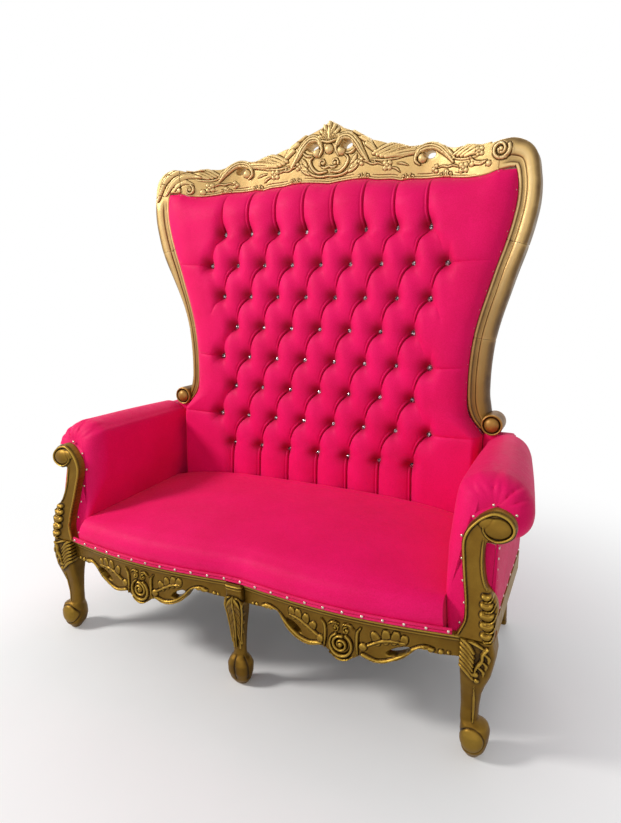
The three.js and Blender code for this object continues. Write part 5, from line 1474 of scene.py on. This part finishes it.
def seat_welt():
    end = POST_INNER + POST_WIDTH * 0.02 - SEAM - 4

    def face(x):
        return rail_face(x) - SEAT_OVER - 2 * SOFT_SEAM

    x = np.linspace(0.4, end, 150)
    for side, sign in SIDES:
        for number, replaced in ((1, [f"front_gimp_{side}"]), (2, ())):
            path = np.stack([x * sign, face(x) - 4.6, 0 * x + PAD_BOTTOM + WELT_HEIGHTS[number - 1]], -1)
            make(f"seat_welt_{side}_{number}", *piping(path, WELT_RADIUS), PIPING, "nailed_gimp", replaced)
    spots = [(x, float(face(x)) - 7.4, PAD_BOTTOM + 8.4) for x in np.arange(28, end - 8, NAIL_PITCH)]
    nails("seat_nails", mirrored(spots), (0, -1, 0.15), 4.4, 3.8)


def back_borders():
    """A flat strip of leather with a welt and nail heads round the buttoned back."""
    rings = []
    for z in np.linspace(WAIST - STILE_WIDTH, FABRIC_TOP - 14, 150):
        x = float(half_width(z)) - 0.6
        rings.append([(x + out, float(frame_face(x, z)) - rise, z) for out, rise in STRIP])
    make_pair("side_border_{}", *tube_mesh(rings), PINK, "nailed_gimp", "stile_border_{}")
    rings = []
    for x in np.linspace(-612, 612, 320):
        top = float(crest_lower(x)) - 0.4
        rings.append([(x, float(frame_face(x, min(top, FABRIC_TOP))) - rise, top + out) for out, rise in STRIP])
    make("top_border", *tube_mesh(rings), PINK, "nailed_gimp", ["crest_border"])
    spots = [(float(half_width(z)) - 6, z) for z in np.arange(WAIST - 40, FABRIC_TOP - 20, BORDER_NAIL_PITCH)]
    spots = mirrored([(x, float(frame_face(x, z)) - 4.2, z) for x, z in spots])
    for x in np.arange(-600, 601, BORDER_NAIL_PITCH):
        top = float(crest_lower(x)) - CREST_SEAM - 6
        spots.append((x, float(frame_face(x, min(top, FABRIC_TOP))) - 4.2, top))
    nails("back_nails", spots, (0, -1, 0), 3.8)


def arm_nails():
    """Nail heads on the arm's front strip, beside the post."""
    inner = spline([on_post(*p) for p in POST[:POST_ROUND]], 300)
    length = lengths(inner)
    spots = []
    for at in np.arange(24, length[-1], NAIL_PITCH):
        x, z = (np.interp([at, min(at + 3, length[-1])], length, side) for side in inner.T)
        run = unit(np.array([x[1] - x[0], z[1] - z[0]]))
        spots.append((x[0] - run[1] * 5.4, float(arm_front(z[0] + run[0] * 5.4)) + 1, z[0] + run[0] * 5.4))
    nails("arm_nails", mirrored(spots), (0, -1, 0.2), 3.9)


seat_welt()
back_borders()
arm_nails()

# CAD solids whose shape is right take their finish and a fine rounded edge

BEVEL = 0.0025
FINISHES = {"side_rail": (GOLD, BEVEL), "seat_spring": (STEEL, 0)}

for name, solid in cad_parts.items():
    if solid.hide_render:
        continue
    finish, edge_width = next((row for start, row in FINISHES.items() if name.startswith(start)), (TIMBER, BEVEL))
    solid.data.materials.clear()
    solid.data.materials.append(finish)
    if edge_width:
        edge = solid.modifiers.new("edge", "BEVEL")
        edge.width = edge_width
        edge.segments = 3
        edge.limit_method = "ANGLE"

# Studio

FLOOR_HALF, FLOOR_DROP = 9, 0.0005
FOCAL_PIXELS, PICTURE_HEIGHT, SENSOR = 600, 823, 36
CAMERA_DOWN, CAMERA_TURN = 12.02, 25.53


def join(tree, kind, inputs, **values):
    """A node with sockets linked to its inputs by their numbers; its first output."""
    n = node(tree, kind, **values)
    for number, socket in inputs.items():
        tree.links.new(socket, n.inputs[number])
    return n.outputs[0]


def white_to_view(tree):
    """1 for rays that show the background: from the camera, in gloss and through glass."""
    path = node(tree, "ShaderNodeLightPath").outputs
    value = path["Is Camera Ray"]
    for other in ("Is Glossy Ray", "Is Transmission Ray"):
        value = join(tree, "ShaderNodeMath", {0: value, 1: path[other]}, operation="MAXIMUM")
    return value


mesh = bpy.data.meshes.new("floor")
mesh.from_pydata([(FLOOR_HALF * x, FLOOR_HALF * y, -FLOOR_DROP) for x, y in ((-1, -1), (1, -1), (1, 1), (-1, 1))],
                 [], [(0, 1, 2, 3)])
floor = bpy.data.objects.new("floor", mesh)
bpy.context.scene.collection.objects.link(floor)

ground, tree, bsdf = new_material("floor")
fill(tree, bsdf, Base_Color=ramp(tree, noise(tree, 3, 4), [(0.3, 0.88), (0.7, 0.90)]), Roughness=0.9,
     Specular_IOR_Level=0.2)
white = node(tree, "ShaderNodeEmission", Strength=1.0).outputs["Emission"]
distance = node(tree, "ShaderNodeVectorMath", operation="LENGTH")
tree.links.new(object_place(tree), distance.inputs[0])
far = map_range(tree, distance.outputs["Value"], 0.3, 2.3, "SMOOTHSTEP")
share = join(tree, "ShaderNodeMath", {0: far, 1: white_to_view(tree)}, operation="MULTIPLY")
fill(tree, tree.nodes["Material Output"],
     Surface=join(tree, "ShaderNodeMixShader", {0: share, 1: bsdf.outputs["BSDF"], 2: white}))
mesh.materials.append(ground)

world = bpy.data.worlds.new("studio")
bpy.context.scene.world = world
world.use_nodes = True
sky = world.node_tree
light = fill(sky, sky.nodes["Background"], Color=(0.95, 0.97, 1.0, 1), Strength=0.4)
backdrop = node(sky, "ShaderNodeBackground", Color=(1, 1, 1, 1), Strength=1.0)
fill(sky, sky.nodes["World Output"], Surface=join(sky, "ShaderNodeMixShader", {
    0: white_to_view(sky), 1: light.outputs["Background"], 2: backdrop.outputs["Background"]}))


def area_light(name, place, target, size, power, colour=(1, 1, 1)):
    data = bpy.data.lights.new(name, "AREA")
    data.size, data.energy, data.color = size, power, colour
    lamp = bpy.data.objects.new(name, data)
    lamp.location = place
    lamp.rotation_euler = (Vector(target) - Vector(place)).to_track_quat("-Z", "Y").to_euler()
    bpy.context.scene.collection.objects.link(lamp)


area_light("key", (-3.4, -2.2, 3.3), (0, 0, 0.9), 0.9, 168, (1, 0.98, 0.95))
area_light("fill", (1.2, -3.6, 1.6), (0, 0, 0.8), 2.2, 19)
area_light("rim", (0.1, 2.5, 4.0), (0, 0, 1.0), 2.0, 44)

camera_data = bpy.data.cameras.new("camera")
camera_data.lens = FOCAL_PIXELS / PICTURE_HEIGHT * SENSOR
camera = bpy.data.objects.new("camera", camera_data)
camera.location = (0.92, -1.7533, 1.226)
camera.rotation_euler = (math.radians(90 - CAMERA_DOWN), 0, math.radians(CAMERA_TURN))
bpy.context.scene.collection.objects.link(camera)
bpy.context.scene.camera = camera
bpy.context.scene.view_settings.view_transform = "Standard"
